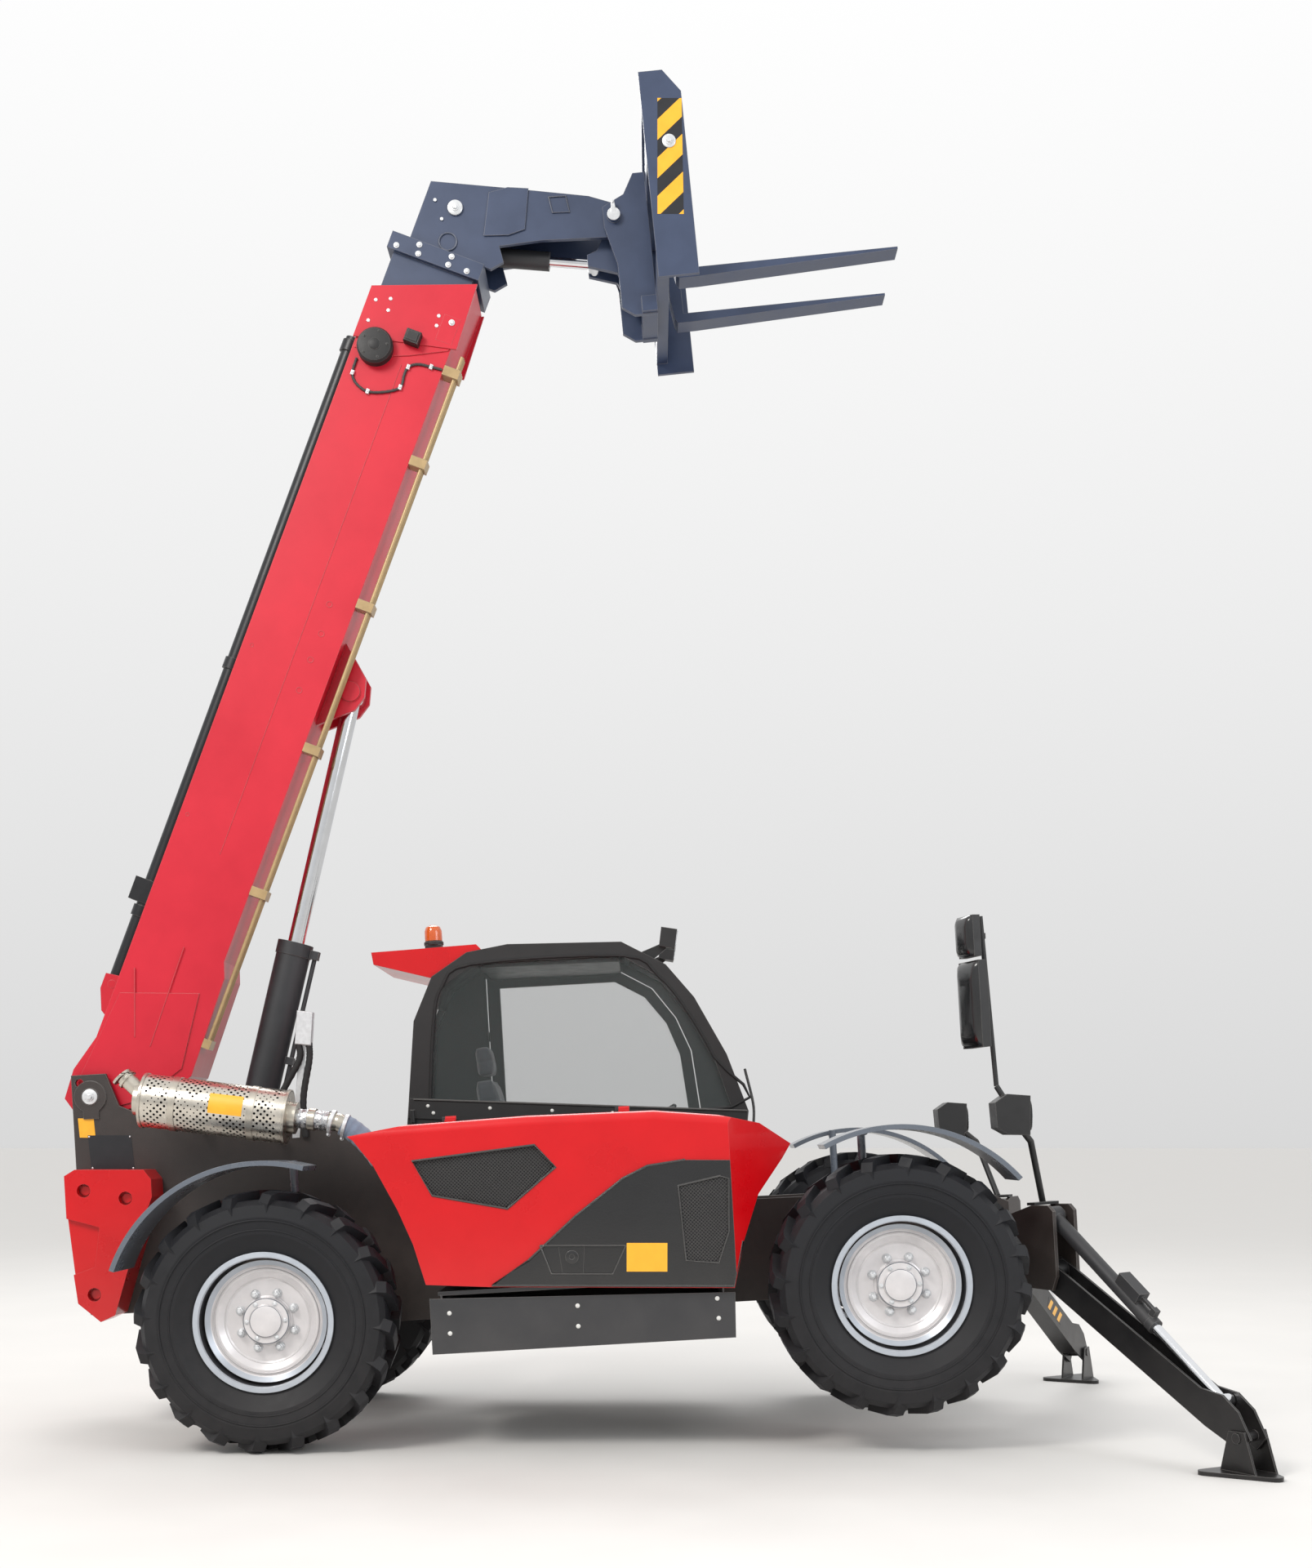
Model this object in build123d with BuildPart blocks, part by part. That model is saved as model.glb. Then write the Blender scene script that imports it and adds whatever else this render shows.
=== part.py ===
from build123d import *
import os
from math import sin, cos, tan, atan2, radians, degrees, hypot

# Telehandler, modelled level in its own frame and then set down as it parks.
# X forward, Y to the machine's left, Z up, millimetres. While it is level the
# origin is on the ground under the rear axle.

# ---------------------------------------------------------------- stance
PITCH = 3.27            # nose-up lean while it stands on its two front legs
WHEEL_BASE = 3030.0
RUN = 0.06              # radial running clearance of pins and shafts
SIDE_GAP = 3.0          # side clearance between a lug and its fork

# ---------------------------------------------------------------- wheels
TYRE_R = 625.0
TYRE_W = 400.0
TYRE_Y = 980.0          # centre plane of a tyre
BEAD_R = 305.0
RIM_T = 14.0
RIM_FLANGE_R = 334.0
HUB_Y = 1008.0          # mounting face of the hub
BOLT_PCD = 275.0
HUB_CAP_R = 110.0
LUGS = 20               # on each side of a tyre
LUG_H = 38.0            # tread depth
LUG_W = 62.0
LUG_SKEW = 32.0         # from straight across
KINGPIN_Y = 720.0
KINGPIN_R = 26.0
STEER = 30.0
FENDER_R = 742.0
FENDER_T = 24.0
FENDER_W = 360.0
POST_X, POST_Y = 112.0, 748.0   # fender's post, beside the kingpin

# ---------------------------------------------------------------- chassis
SIDE_Y = 225.0          # inner face of a side plate
SIDE_T = 25.0
AXLE_PAD_Z = 760.0
BEAM_R = 90.0
BOOM_PIN = (-1015.0, 1774.0)
BOOM_PIN_R = 45.0
LIFT_PIN = (-369.0, 1100.0)
LIFT_PIN_R = 38.0

TOW_X, TOW_Z, TOW_T, TOW_R = -1150.0, (740.0, 830.0), 25.0, 16.0

# ---------------------------------------------------------------- boom
BOOM_ANGLE = 66.4       # to the level chassis, as parked
BOOM_LOW = -3.0
BOOM_HIGH = 70.0
BOOM_HALF = 190.0       # half the outer box's width
BOOM_TOP = 97.0         # top and bottom of the box above the pin's line
BOOM_BOTTOM = -393.0
BOOM_WALL = 10.0
NEST_GAP = 14.0         # wear-pad space between two nested sections
BOOM_NOSE = 4480.0
STROKE = 3900.0
DOUBLER_T = 8.0         # plates welded on the boom's root
TUBE_RISE = 56.0        # extension cylinder's line above the boom's top
TUBE_R = 45.0
TUBE_FOOT = 585.0       # its lower pin, along the boom
PIPE_R = 11.0
PIPES_Y = (-174.0, -149.0, -124.0)
PIPE_T = -460.0          # pipes under the boom, above the pin's line
EYE = (2469.0, -500.0)  # lift cylinder's eye, along and above the pin's line
EYE_R = 36.0

# ---------------------------------------------------------------- carriage
HEAD_PIN = (5270.0, -947.0)
HEAD_PIN_R = 35.0
TILT_BASE = (4850.0, -140.0)
TILT_ARM = (-114.0, -171.0)   # tilt rod's pin from the carriage's pin, level
CROWD = 75.0
DUMP = 45.0
FORK_LEVEL = 2.5
FORK_L = 1100.0
FORK_W = 125.0
FORK_T = 50.0
FORK_Y = 270.0
FORK_TOP = -378.0       # top of the tines below the head pin

# ---------------------------------------------------------------- legs
LEG_AHEAD = 820.0       # the legs' pins ahead of the front axle
LEG_X, LEG_Y, LEG_Z = WHEEL_BASE + LEG_AHEAD, 680.0, 620.0
LEG_YAW = 60.0          # from straight ahead
LEG_DROP = 30.4
LEG_L = 1385.0
LEG_HALF = 55.0
LEG_PIN_R = 30.0
LEG_UP = 95.0
LEG_BARREL_R = 36.0
LEG_CYL = (10.0, 275.0)       # cylinder's base pin from the leg's pin
LEG_ROD = (1200.0, 60.0)      # rod's pin, along and above the leg
FOOT_RANGE = 20.0

# ---------------------------------------------------------------- cab and hood
CAB_IN, CAB_OUT = 262.0, 1120.0
PANEL = 40.0
GLASS = 6.0
FIT = 0.3
DOOR_GAP = 6.0
DOOR_T = 35.0
DOOR_OPEN = 80.0
DOOR_X = 960.0
HOOD_IN, HOOD_OUT = 262.0, 1150.0
HOOD_T = 22.0
HOOD_ROUND = 46.0       # outer shoulder
HOOD_OPEN = 55.0
HINGE_LINE = (-256.0, 1554.0)   # the hood's hinge, y and z
HOOD_HINGES = (850.0, 1750.0)
HINGE_R = 6.0
VENT_PITCH = 48.0       # square holes of the pod's grilles
VENT_BAR = 10.0
VENT_T = 4.0

# ================================================================ geometry

def boom_point(s, t, angle=BOOM_ANGLE):
    """A point along and above the boom's line, in the level chassis's x and z."""
    a = radians(angle)
    return (BOOM_PIN[0] + s * cos(a) - t * sin(a), BOOM_PIN[1] + s * sin(a) + t * cos(a))


def slab(points, y0, y1, mode=Mode.ADD):
    """A plate with a side profile in x and z, from y0 to y1."""
    with BuildSketch(Plane.XZ.offset(-y1)) as profile:
        with BuildLine():
            Polyline(*points, close=True)
        make_face()
    extrude(profile.sketch, amount=y1 - y0, mode=mode)


def both(points, y0, y1, mode=Mode.ADD):
    """The same plate on the left and on the right."""
    slab(points, y0, y1, mode)
    slab(points, -y1, -y0, mode)


def box(x0, x1, y0, y1, z0, z1, mode=Mode.ADD):
    with Locations(((x0 + x1) / 2, (y0 + y1) / 2, (z0 + z1) / 2)):
        Box(x1 - x0, y1 - y0, z1 - z0, mode=mode)


def pin(x, z, radius, y0, y1, mode=Mode.ADD):
    """A round bar across the machine."""
    with BuildSketch(Plane.XZ.offset(-y1)) as profile:
        with Locations((x, z)):
            Circle(radius)
    extrude(profile.sketch, amount=y1 - y0, mode=mode)


def rod(a, b, radius, mode=Mode.ADD):
    """A round bar from one point to another."""
    a, b = Vector(*a), Vector(*b)
    with BuildSketch(Plane(origin=a, z_dir=b - a)) as profile:
        Circle(radius)
    extrude(profile.sketch, amount=(b - a).length, mode=mode)


def inset_slab(points, amount, y0, y1, mode=Mode.ADD):
    """A plate whose side profile is drawn in by an amount all round."""
    with BuildSketch(Plane.XZ.offset(-y1)) as profile:
        with BuildLine():
            Polyline(*points, close=True)
        make_face()
        offset(amount=-amount, kind=Kind.INTERSECTION, mode=Mode.REPLACE)
    extrude(profile.sketch, amount=y1 - y0, mode=mode)


def grille(points, y0, y1):
    """A plate with a side profile in x and z, pierced by rows of square holes."""
    xs, zs = [p[0] for p in points], [p[1] for p in points]
    columns = int((max(xs) - min(xs)) / VENT_PITCH)
    rows = int((max(zs) - min(zs)) / VENT_PITCH)
    with BuildSketch(Plane.XZ.offset(-y1)) as profile:
        with BuildLine():
            Polyline(*points, close=True)
        make_face()
        with Locations(((min(xs) + max(xs)) / 2, (min(zs) + max(zs)) / 2)):
            with GridLocations(VENT_PITCH, VENT_PITCH, columns, rows):
                Rectangle(VENT_PITCH - VENT_BAR, VENT_PITCH - VENT_BAR, mode=Mode.SUBTRACT)
    extrude(profile.sketch, amount=y1 - y0)


made = {}


# ================================================================ chassis
FRONT = WHEEL_BASE
TOWER = [(-1110, 720), (-1110, 1890), (-930, 1890), (-870, 1720), (-640, 1610), (250, 1550),
         (430, 1480), (540, 1180), (700, 1060), (FRONT + 530, 1040), (LEG_X - 130, 960), (LEG_X - 130, 560),
         (FRONT + 350, 560), (FRONT + 300, AXLE_PAD_Z), (FRONT - 300, AXLE_PAD_Z), (FRONT - 350, 520), (420, 520),
         (300, AXLE_PAD_Z), (-300, AXLE_PAD_Z), (-420, 640), (-1050, 640)]
SIDE_OUT = SIDE_Y + SIDE_T
FORK_IN = LEG_HALF + SIDE_GAP         # inner face of a leg's fork
FORK_PLATE = 20.0


def leg_plane(side, across=0.0):
    """The upright plane that a leg swings in: its x runs outwards, its y up."""
    u = Vector(cos(radians(LEG_YAW)), side * sin(radians(LEG_YAW)), 0)
    n = u.cross(Vector(0, 0, 1))
    origin = Vector(LEG_X, side * LEG_Y, LEG_Z) + n * across
    return Plane(origin=origin, x_dir=u, z_dir=n)


def leg_slab(side, points, half_from, half_to, mode=Mode.ADD):
    with BuildSketch(leg_plane(side, half_from)) as profile:
        with BuildLine():
            Polyline(*points, close=True)
        make_face()
    extrude(profile.sketch, amount=half_to - half_from, mode=mode)


def leg_pin(side, at, radius, half_from, half_to, mode=Mode.ADD):
    with BuildSketch(leg_plane(side, half_from)) as profile:
        with Locations(at):
            Circle(radius)
    extrude(profile.sketch, amount=half_to - half_from, mode=mode)


def fork_root(side, half):
    """How far back a fork plate runs to end inside the chassis's side plate."""
    yaw = radians(LEG_YAW)
    return (SIDE_Y + SIDE_T / 2 - LEG_Y + side * half * cos(yaw)) / sin(yaw)


with BuildPart() as chassis:
    both(TOWER, SIDE_Y, SIDE_OUT)
    box(-1110, -1085, -SIDE_Y, SIDE_Y, 720, 1500)
    box(420, FRONT - 350, -SIDE_Y, SIDE_Y, 520, 545)
    box(LEG_X - 250, LEG_X - 210, -SIDE_Y, SIDE_Y, 560, 760)
    box(-1085, -420, -SIDE_Y, SIDE_Y, 640, 665)
    pin(BOOM_PIN[0], BOOM_PIN[1], BOOM_PIN_R, -SIDE_OUT - 12, SIDE_OUT + 12)
    pin(LIFT_PIN[0], LIFT_PIN[1], LIFT_PIN_R, -SIDE_Y - 5, SIDE_Y + 5)
    for side in (-1, 1):
        y0, y1 = sorted((side * SIDE_OUT, side * (SIDE_OUT + 9)))
        pin(*BOOM_PIN, BOOM_PIN_R + 38, y0, y1)
        box(BOOM_PIN[0] - 40, BOOM_PIN[0] + 40, y0, y1, BOOM_PIN[1] - BOOM_PIN_R - 70, BOOM_PIN[1] - BOOM_PIN_R - 20)
        pin(*LIFT_PIN, LIFT_PIN_R + 26, y0, y1)
        # lifting eye in the tower's corner
        pin(-1068, 1848, 22, side * SIDE_Y - SIDE_T - 1, side * SIDE_Y + SIDE_T + 1, Mode.SUBTRACT)
    # seats that carry the cab, and a towing jaw behind
    box(880, 1000, SIDE_OUT, CAB_IN, 800, 900)
    box(2080, 2200, SIDE_OUT, CAB_IN, 800, 900)
    for z in TOW_Z:
        box(-1185, -1110, -55, 55, z, z + TOW_T)
    with Locations((TOW_X, 0, (TOW_Z[0] + TOW_Z[1] + TOW_T) / 2)):
        Cylinder(TOW_R, 300, mode=Mode.SUBTRACT)
    for side in (-1, 1):
        for half in (FORK_IN, -FORK_IN - FORK_PLATE):
            root = fork_root(side, half + FORK_PLATE / 2)
            leg_slab(side, [(root, -60), (60, -90), (95, -20), (95, 300), (60, 330), (-60, 330), (root, 200)],
                     half, half + FORK_PLATE)
        leg_pin(side, (0, 0), LEG_PIN_R, -FORK_IN - 1, FORK_IN + 1)
        leg_pin(side, LEG_CYL, LEG_PIN_R, -FORK_IN - 1, FORK_IN + 1)
chassis.part.label = "chassis"
made["chassis"] = chassis

with BuildPart() as axles:
    for x in (0.0, WHEEL_BASE):
        rod((x, -600, TYRE_R), (x, 600, TYRE_R), BEAM_R)
        box(x - 120, x + 120, -280, 280, TYRE_R - 95, AXLE_PAD_Z)
        # the differential's housing, and the ribs of the trumpets
        rod((x - 190, 0, TYRE_R), (x + 190, 0, TYRE_R), 118)
        rod((x, -200, TYRE_R), (x, 200, TYRE_R), 150)
        for y in (-430, 430):
            rod((x, y - 12, TYRE_R), (x, y + 12, TYRE_R), BEAM_R + 24)
        for side in (-1, 1):
            y0, y1 = sorted((side * 560, side * (KINGPIN_Y + 45)))
            box(x - 60, x + 60, y0, y1, TYRE_R + 130, TYRE_R + 165)
            box(x - 60, x + 60, y0, y1, TYRE_R - 165, TYRE_R - 130)
            y0, y1 = sorted((side * 540, side * 600))
            box(x - 60, x + 60, y0, y1, TYRE_R - 165, TYRE_R + 165)
            with Locations((x, side * KINGPIN_Y, TYRE_R)):
                Cylinder(KINGPIN_R + RUN, 400, mode=Mode.SUBTRACT)
axles.part.label = "axles"
made["axles"] = axles

WEIGHT = [(-1105, 1370), (-1050, 1400), (-700, 1380), (-665, 1330), (-665, 1240), (-765, 1000), (-885, 650),
          (-960, 620), (-1070, 720), (-1085, 880), (-1105, 1150)]
WEIGHT_T = 230.0

with BuildPart() as counterweights:
    both(WEIGHT, SIDE_OUT, SIDE_OUT + WEIGHT_T)
    for side in (-1, 1):
        # a step cast in the face, and three sunk bolts
        y0, y1 = sorted((side * (SIDE_OUT + WEIGHT_T - 28), side * (SIDE_OUT + WEIGHT_T + 5)))
        slab([(-1140, 1165), (-940, 1100), (-975, 900), (-1140, 850)], y0, y1, Mode.SUBTRACT)
        for x, z in ((-1010, 1290), (-800, 1240), (-985, 760)):
            pin(x, z, 34, min(y0, side * (SIDE_OUT + WEIGHT_T - 52)), max(y1, side * (SIDE_OUT + WEIGHT_T - 52)), Mode.SUBTRACT)
            pin(x, z, 24, *sorted((side * (SIDE_OUT + WEIGHT_T - 60), side * (SIDE_OUT + WEIGHT_T - 36))))
counterweights.part.label = "counterweights"
made["counterweights"] = counterweights

POD_END = FRONT - 840.0   # front of the pod's tray, clear of the front wheel
HOOD_END = FRONT - 467.0  # tip of the hood's nose

with BuildPart() as engine_block:
    box(950, POD_END - 140, -1050, -SIDE_OUT - 60, 780, 1380)
engine_block.part.label = "engine_block"
made["engine_block"] = engine_block

with BuildPart() as pod_base:
    # floor tray, inner bulkhead and the bent skirt under the hood
    box(830, POD_END, -1100, -SIDE_OUT, 700, 720)
    slab([(560, 1200), (780, 760), (POD_END, 700), (POD_END + 190, 1100), (POD_END + 330, 1300), (POD_END + 210, 1450), (POD_END - 290, 1535),
          (720, 1535), (470, 1490)], -SIDE_OUT - 8, -SIDE_OUT)
    box(950, POD_END - 140, -SIDE_OUT - 60, -SIDE_OUT - 8, 780, 1380)
    slab([(790, 425), (POD_END + 42, 425), (POD_END + 50, 640), (790, 690)], -1120, -1112)
    slab([(790, 425), (POD_END + 42, 425), (POD_END + 42, 433), (790, 433)], -1120, -SIDE_OUT)
    box(POD_END - 10, POD_END - 2, -1112, -SIDE_OUT, 430, 705)
    box(842, 850, -1112, -SIDE_OUT, 430, 705)
    for x in HOOD_HINGES:
        rod((x - 40, *HINGE_LINE), (x + 30, *HINGE_LINE), HINGE_R)
        box(x - 44, x - 31, -SIDE_OUT - 8, -SIDE_OUT, 1520, 1565)
        box(x - 44, x - 31, HINGE_LINE[0] - 10, -SIDE_OUT - 2, 1542, 1565)
pod_base.part.label = "pod_base"
made["pod_base"] = pod_base

SILENCER_A, SILENCER_B = (-640, -620, 1727), (80, -620, 1600)
GUARD_R = 132.0


def along_guard(p):
    """A point on the silencer's line, p from its rear end."""
    run = Vector(*SILENCER_B) - Vector(*SILENCER_A)
    return tuple(Vector(*SILENCER_A) + run.normalized() * p)


GUARD_L = (Vector(*SILENCER_B) - Vector(*SILENCER_A)).length
with BuildPart() as exhaust:
    # the guard, its rolled ends and straps, and the silencer's necks
    rod(along_guard(14), along_guard(GUARD_L - 14), GUARD_R)
    for p in (0, GUARD_L - 14):
        rod(along_guard(p), along_guard(p + 14), GUARD_R + 7)
    for p in (150, GUARD_L - 190):
        rod(along_guard(p), along_guard(p + 34), GUARD_R + 5)
    rod(along_guard(-40), along_guard(2), 80)
    rod(along_guard(GUARD_L - 2), along_guard(GUARD_L + 40), 80)
    rod((60, -620, 1604), (330, -640, 1560), 45)
    rod((180, -629, 1585), (215, -631, 1579), 56)
    rod((330, -640, 1560), (425, -640, 1500), 45)
    with Locations((330, -640, 1560)):
        Sphere(45)
    # the tail pipe under its hinged rain cap
    rod((-610, -620, 1722), (-730, -620, 1850), 42)
    rod((-712, -620, 1831), (-722, -620, 1841), 52)
    rod((-738, -620, 1846), (-746, -620, 1856), 54)
    box(-450, -410, -620, -SIDE_OUT, 1560, 1590)
    box(-60, -20, -620, -SIDE_OUT, 1500, 1530)
exhaust.part.label = "exhaust"
made["exhaust"] = exhaust

# ================================================================ cab
CAB = [(800, 760), (770, 1000), (600, 1350), (555, 1541), (622, 2107), (734, 2345), (932, 2467), (1157, 2499),
       (1779, 2477), (2016, 2339), (2161, 2152), (2321, 1831), (2423, 1514), (2395, 1330), (2300, 1100),
       (2240, 900), (2225, 760)]
SIDE_WINDOW = [(680, 1580), (2330, 1540), (2250, 1820), (2100, 2110), (1970, 2280), (1780, 2400), (960, 2400),
               (790, 2290), (730, 2090)]
DOOR = [(DOOR_X, 800), (DOOR_X, 2400), (1740, 2400), (1940, 2280), (2070, 2100), (2150, 1900), (2190, 1500),
        (2150, 1100), (2120, 800)]
DOOR_WINDOW = [(1040, 1400), (1040, 2330), (1720, 2330), (1890, 2230), (2010, 2070), (2080, 1880), (2118, 1500), (2108, 1400)]
FRONT_WINDOW = [(2340, 1480), (2480, 1480), (2480, 2440), (1830, 2440), (1760, 2380), (1960, 2260), (2090, 2100), (2250, 1800)]
REAR_WINDOW = [(500, 1620), (700, 1620), (780, 2200), (500, 2260)]
WINDOW_Y = (CAB_IN + 70, CAB_OUT - 70)
HINGE_X, HINGE_Y = DOOR_X - 14.0, CAB_OUT + 16.0
HINGES = (1000.0, 2050.0)

with BuildPart() as cab_shell:
    slab(CAB, CAB_IN, CAB_OUT)
    with BuildSketch(Plane.XZ.offset(-(CAB_OUT - PANEL))) as inside:
        with BuildLine():
            Polyline(*CAB, close=True)
        make_face()
        offset(amount=-PANEL, kind=Kind.INTERSECTION, mode=Mode.REPLACE)
    extrude(inside.sketch, amount=CAB_OUT - CAB_IN - 2 * PANEL, mode=Mode.SUBTRACT)
    slab(SIDE_WINDOW, CAB_IN - 5, CAB_IN + PANEL + 5, Mode.SUBTRACT)
    slab(DOOR, CAB_OUT - PANEL - 5, CAB_OUT + 5, Mode.SUBTRACT)
    slab(FRONT_WINDOW, *WINDOW_Y, Mode.SUBTRACT)
    slab(REAR_WINDOW, *WINDOW_Y, Mode.SUBTRACT)
    for z in HINGES:
        box(HINGE_X - 10, HINGE_X + 8, CAB_OUT - 20, HINGE_Y + 8, z - 45, z - 31)
        with Locations((HINGE_X, HINGE_Y, z)):
            Cylinder(HINGE_R, 70)
cab_shell.part.label = "cab_shell"
made["cab_shell"] = cab_shell


with BuildPart() as front_pane:
    inset_slab(CAB, PANEL / 2 - GLASS / 2, WINDOW_Y[0] + FIT, WINDOW_Y[1] - FIT)
    inset_slab(CAB, PANEL / 2 + GLASS / 2, WINDOW_Y[0], WINDOW_Y[1], Mode.SUBTRACT)
    inset_slab(FRONT_WINDOW, FIT, WINDOW_Y[0], WINDOW_Y[1], Mode.INTERSECT)

with BuildPart() as rear_pane:
    inset_slab(CAB, PANEL / 2 - GLASS / 2, WINDOW_Y[0] + FIT, WINDOW_Y[1] - FIT)
    inset_slab(CAB, PANEL / 2 + GLASS / 2, WINDOW_Y[0], WINDOW_Y[1], Mode.SUBTRACT)
    inset_slab(REAR_WINDOW, FIT, WINDOW_Y[0], WINDOW_Y[1], Mode.INTERSECT)

with BuildPart() as cab_glass:
    inset_slab(SIDE_WINDOW, FIT, CAB_IN + 14, CAB_IN + 14 + GLASS)
    add(front_pane.part)
    add(rear_pane.part)
cab_glass.part.label = "cab_glass"
made["cab_glass"] = cab_glass

VISOR = [(409, 2497), (418, 2430), (740, 2335), (960, 2450), (1010, 2482), (985, 2510)]

with BuildPart() as cab_visor:
    slab(VISOR, CAB_IN + 20, CAB_OUT - 20)
    slab(CAB, CAB_IN, CAB_OUT, Mode.SUBTRACT)
cab_visor.part.label = "cab_visor"
made["cab_visor"] = cab_visor

with BuildPart() as seat:
    box(1000, 1460, 420, 920, 800, 1060)
    box(960, 1480, 400, 940, 1060, 1180)
    slab([(960, 1180), (1080, 1180), (1010, 1800), (910, 1800)], 420, 920)
    box(1960, 2040, 620, 720, 800, 1240)
    rod((2000, 670, 1220), (1860, 670, 1480), 30)
    rod((1868, 670, 1465), (1856, 670, 1488), 190)
seat.part.label = "seat"
made["seat"] = seat

with BuildPart() as cab_door:
    inset_slab(DOOR, DOOR_GAP, CAB_OUT - DOOR_T, CAB_OUT)
    slab(DOOR_WINDOW, CAB_OUT - DOOR_T - 5, CAB_OUT + 5, Mode.SUBTRACT)
    # the pull handle
    for x in (1990, 2080):
        box(x - 9, x + 9, CAB_OUT, CAB_OUT + 34, 1290, 1315)
    box(1975, 2095, CAB_OUT + 24, CAB_OUT + 40, 1285, 1320)
    for z in HINGES:
        box(HINGE_X, DOOR_X + 50, CAB_OUT, CAB_OUT + 8, z - 28, z + 28)
        with Locations((HINGE_X, HINGE_Y, z)):
            Cylinder(HINGE_R + 8, 58)
            Cylinder(HINGE_R + RUN, 80, mode=Mode.SUBTRACT)
cab_door.part.label = "cab_door"
made["cab_door"] = cab_door

with BuildPart() as door_glass:
    inset_slab(DOOR_WINDOW, FIT, CAB_OUT - 20, CAB_OUT - 20 + GLASS)
door_glass.part.label = "door_glass"
made["door_glass"] = door_glass

TANK_OUT = 1060.0
STEP_X, STEP_D = (1000.0, 1440.0), 230.0

with BuildPart() as tank_steps:
    # the tank with rounded edges, its rear end cut back for two treads
    box(840, 2180, SIDE_OUT, TANK_OUT, 430, 755)
    fillet(tank_steps.edges().filter_by(Axis.X).group_by(Axis.Y)[-1], 45)
    box(STEP_X[0], STEP_X[1], TANK_OUT - STEP_D, TANK_OUT + 5, 470, 575, Mode.SUBTRACT)
    box(STEP_X[0], STEP_X[1], TANK_OUT - STEP_D, TANK_OUT + 5, 605, 760, Mode.SUBTRACT)
    rod((1900, TANK_OUT - 2, 640), (1900, TANK_OUT + 24, 640), 52)
    for x in (1560, 1960):
        box(x - 22, x + 22, SIDE_OUT, TANK_OUT - 20, 424, 430)
tank_steps.part.label = "tank_steps"
made["tank_steps"] = tank_steps

# ================================================================ hood
HOOD = [(474, 1459), (446, 1480), (723, 1520), (1300, 1532), (HOOD_END - 661, 1523), (HOOD_END - 363, 1485), (HOOD_END - 155, 1435), (HOOD_END, 1328),
        (HOOD_END - 47, 1260), (HOOD_END - 181, 1095), (HOOD_END - 267, 879), (HOOD_END - 325, 662), (1082, 732), (781, 759), (731, 953),
        (667, 1119), (564, 1334)]
VENT = [(748, 1347), (1331, 1391), (1425, 1281), (1186, 1097), (835, 1179)]
SIDE_VENT = [(HOOD_END + x, z) for x, z in ((-565, 1160), (-363, 1195), (-325, 1180), (-338, 930), (-394, 785), (-547, 805))]
HANDLE = [(1331, 915), (1735, 892), (1666, 761), (1377, 778)]
LATCH = (1478.0, 853.0)
PANEL_T = 9.0
NOSE = (HOOD_END - 313, HOOD_END + 7, 820.0)      # plan taper of the nose: from x, to x, half width there

with BuildPart() as hood_core:
    inset_slab(HOOD, HOOD_T, -HOOD_OUT + HOOD_T, -HOOD_IN + 5)
    slab([(800, 600), (760, 800), (1100, 775), (HOOD_END - 333, 700), (HOOD_END - 347, 600)], -HOOD_OUT + HOOD_T, -HOOD_IN + 5)
    with BuildSketch(Plane.XY.offset(600)) as taper:
        with BuildLine():
            Polyline((NOSE[0] - 10, -HOOD_OUT - 10), (NOSE[1] - 10, -NOSE[2] + 20), (NOSE[1] + 60, -NOSE[2]),
                     (NOSE[1] + 60, -HOOD_OUT - 10), close=True)
        make_face()
        offset(amount=HOOD_T, kind=Kind.INTERSECTION, mode=Mode.REPLACE)
    extrude(taper.sketch, amount=1000, mode=Mode.SUBTRACT)

with BuildPart() as hood:
    slab(HOOD, -HOOD_OUT, -HOOD_IN)
    with BuildSketch(Plane.XY.offset(600)) as taper:
        with BuildLine():
            Polyline((NOSE[0], -HOOD_OUT), (NOSE[1], -NOSE[2]), (NOSE[1] + 60, -NOSE[2]),
                     (NOSE[1] + 60, -HOOD_OUT - 10), (NOSE[0], -HOOD_OUT - 10), close=True)
        make_face()
    extrude(taper.sketch, amount=1000, mode=Mode.SUBTRACT)
    shoulder = [e for e in hood.edges() if all(abs(v.Y + HOOD_OUT) < 1 and v.Z > HOOD[0][1] and HOOD[2][0] - 1 < v.X < NOSE[0] - 1
                                               for v in e.vertices())]
    fillet(shoulder, HOOD_ROUND)
    add(hood_core.part, mode=Mode.SUBTRACT)
    # the vent, with its grille set back in the opening
    slab(VENT, -HOOD_OUT - 1, -HOOD_OUT + HOOD_T + 1, Mode.SUBTRACT)
    grille(VENT, -HOOD_OUT + HOOD_T - VENT_T - 2, -HOOD_OUT + HOOD_T - 2)
    for x in HOOD_HINGES:
        box(x - 28, x + 28, -310, -HOOD_IN, 1500, 1550)
        box(x - 28, x + 28, -HOOD_IN, HINGE_LINE[0], 1541, 1550)
        rod((x - 28, *HINGE_LINE), (x + 28, *HINGE_LINE), HINGE_R + 8)
        rod((x - 30, *HINGE_LINE), (x + 30, *HINGE_LINE), HINGE_R + RUN, Mode.SUBTRACT)
hood.part.label = "hood"
made["hood"] = hood

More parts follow.
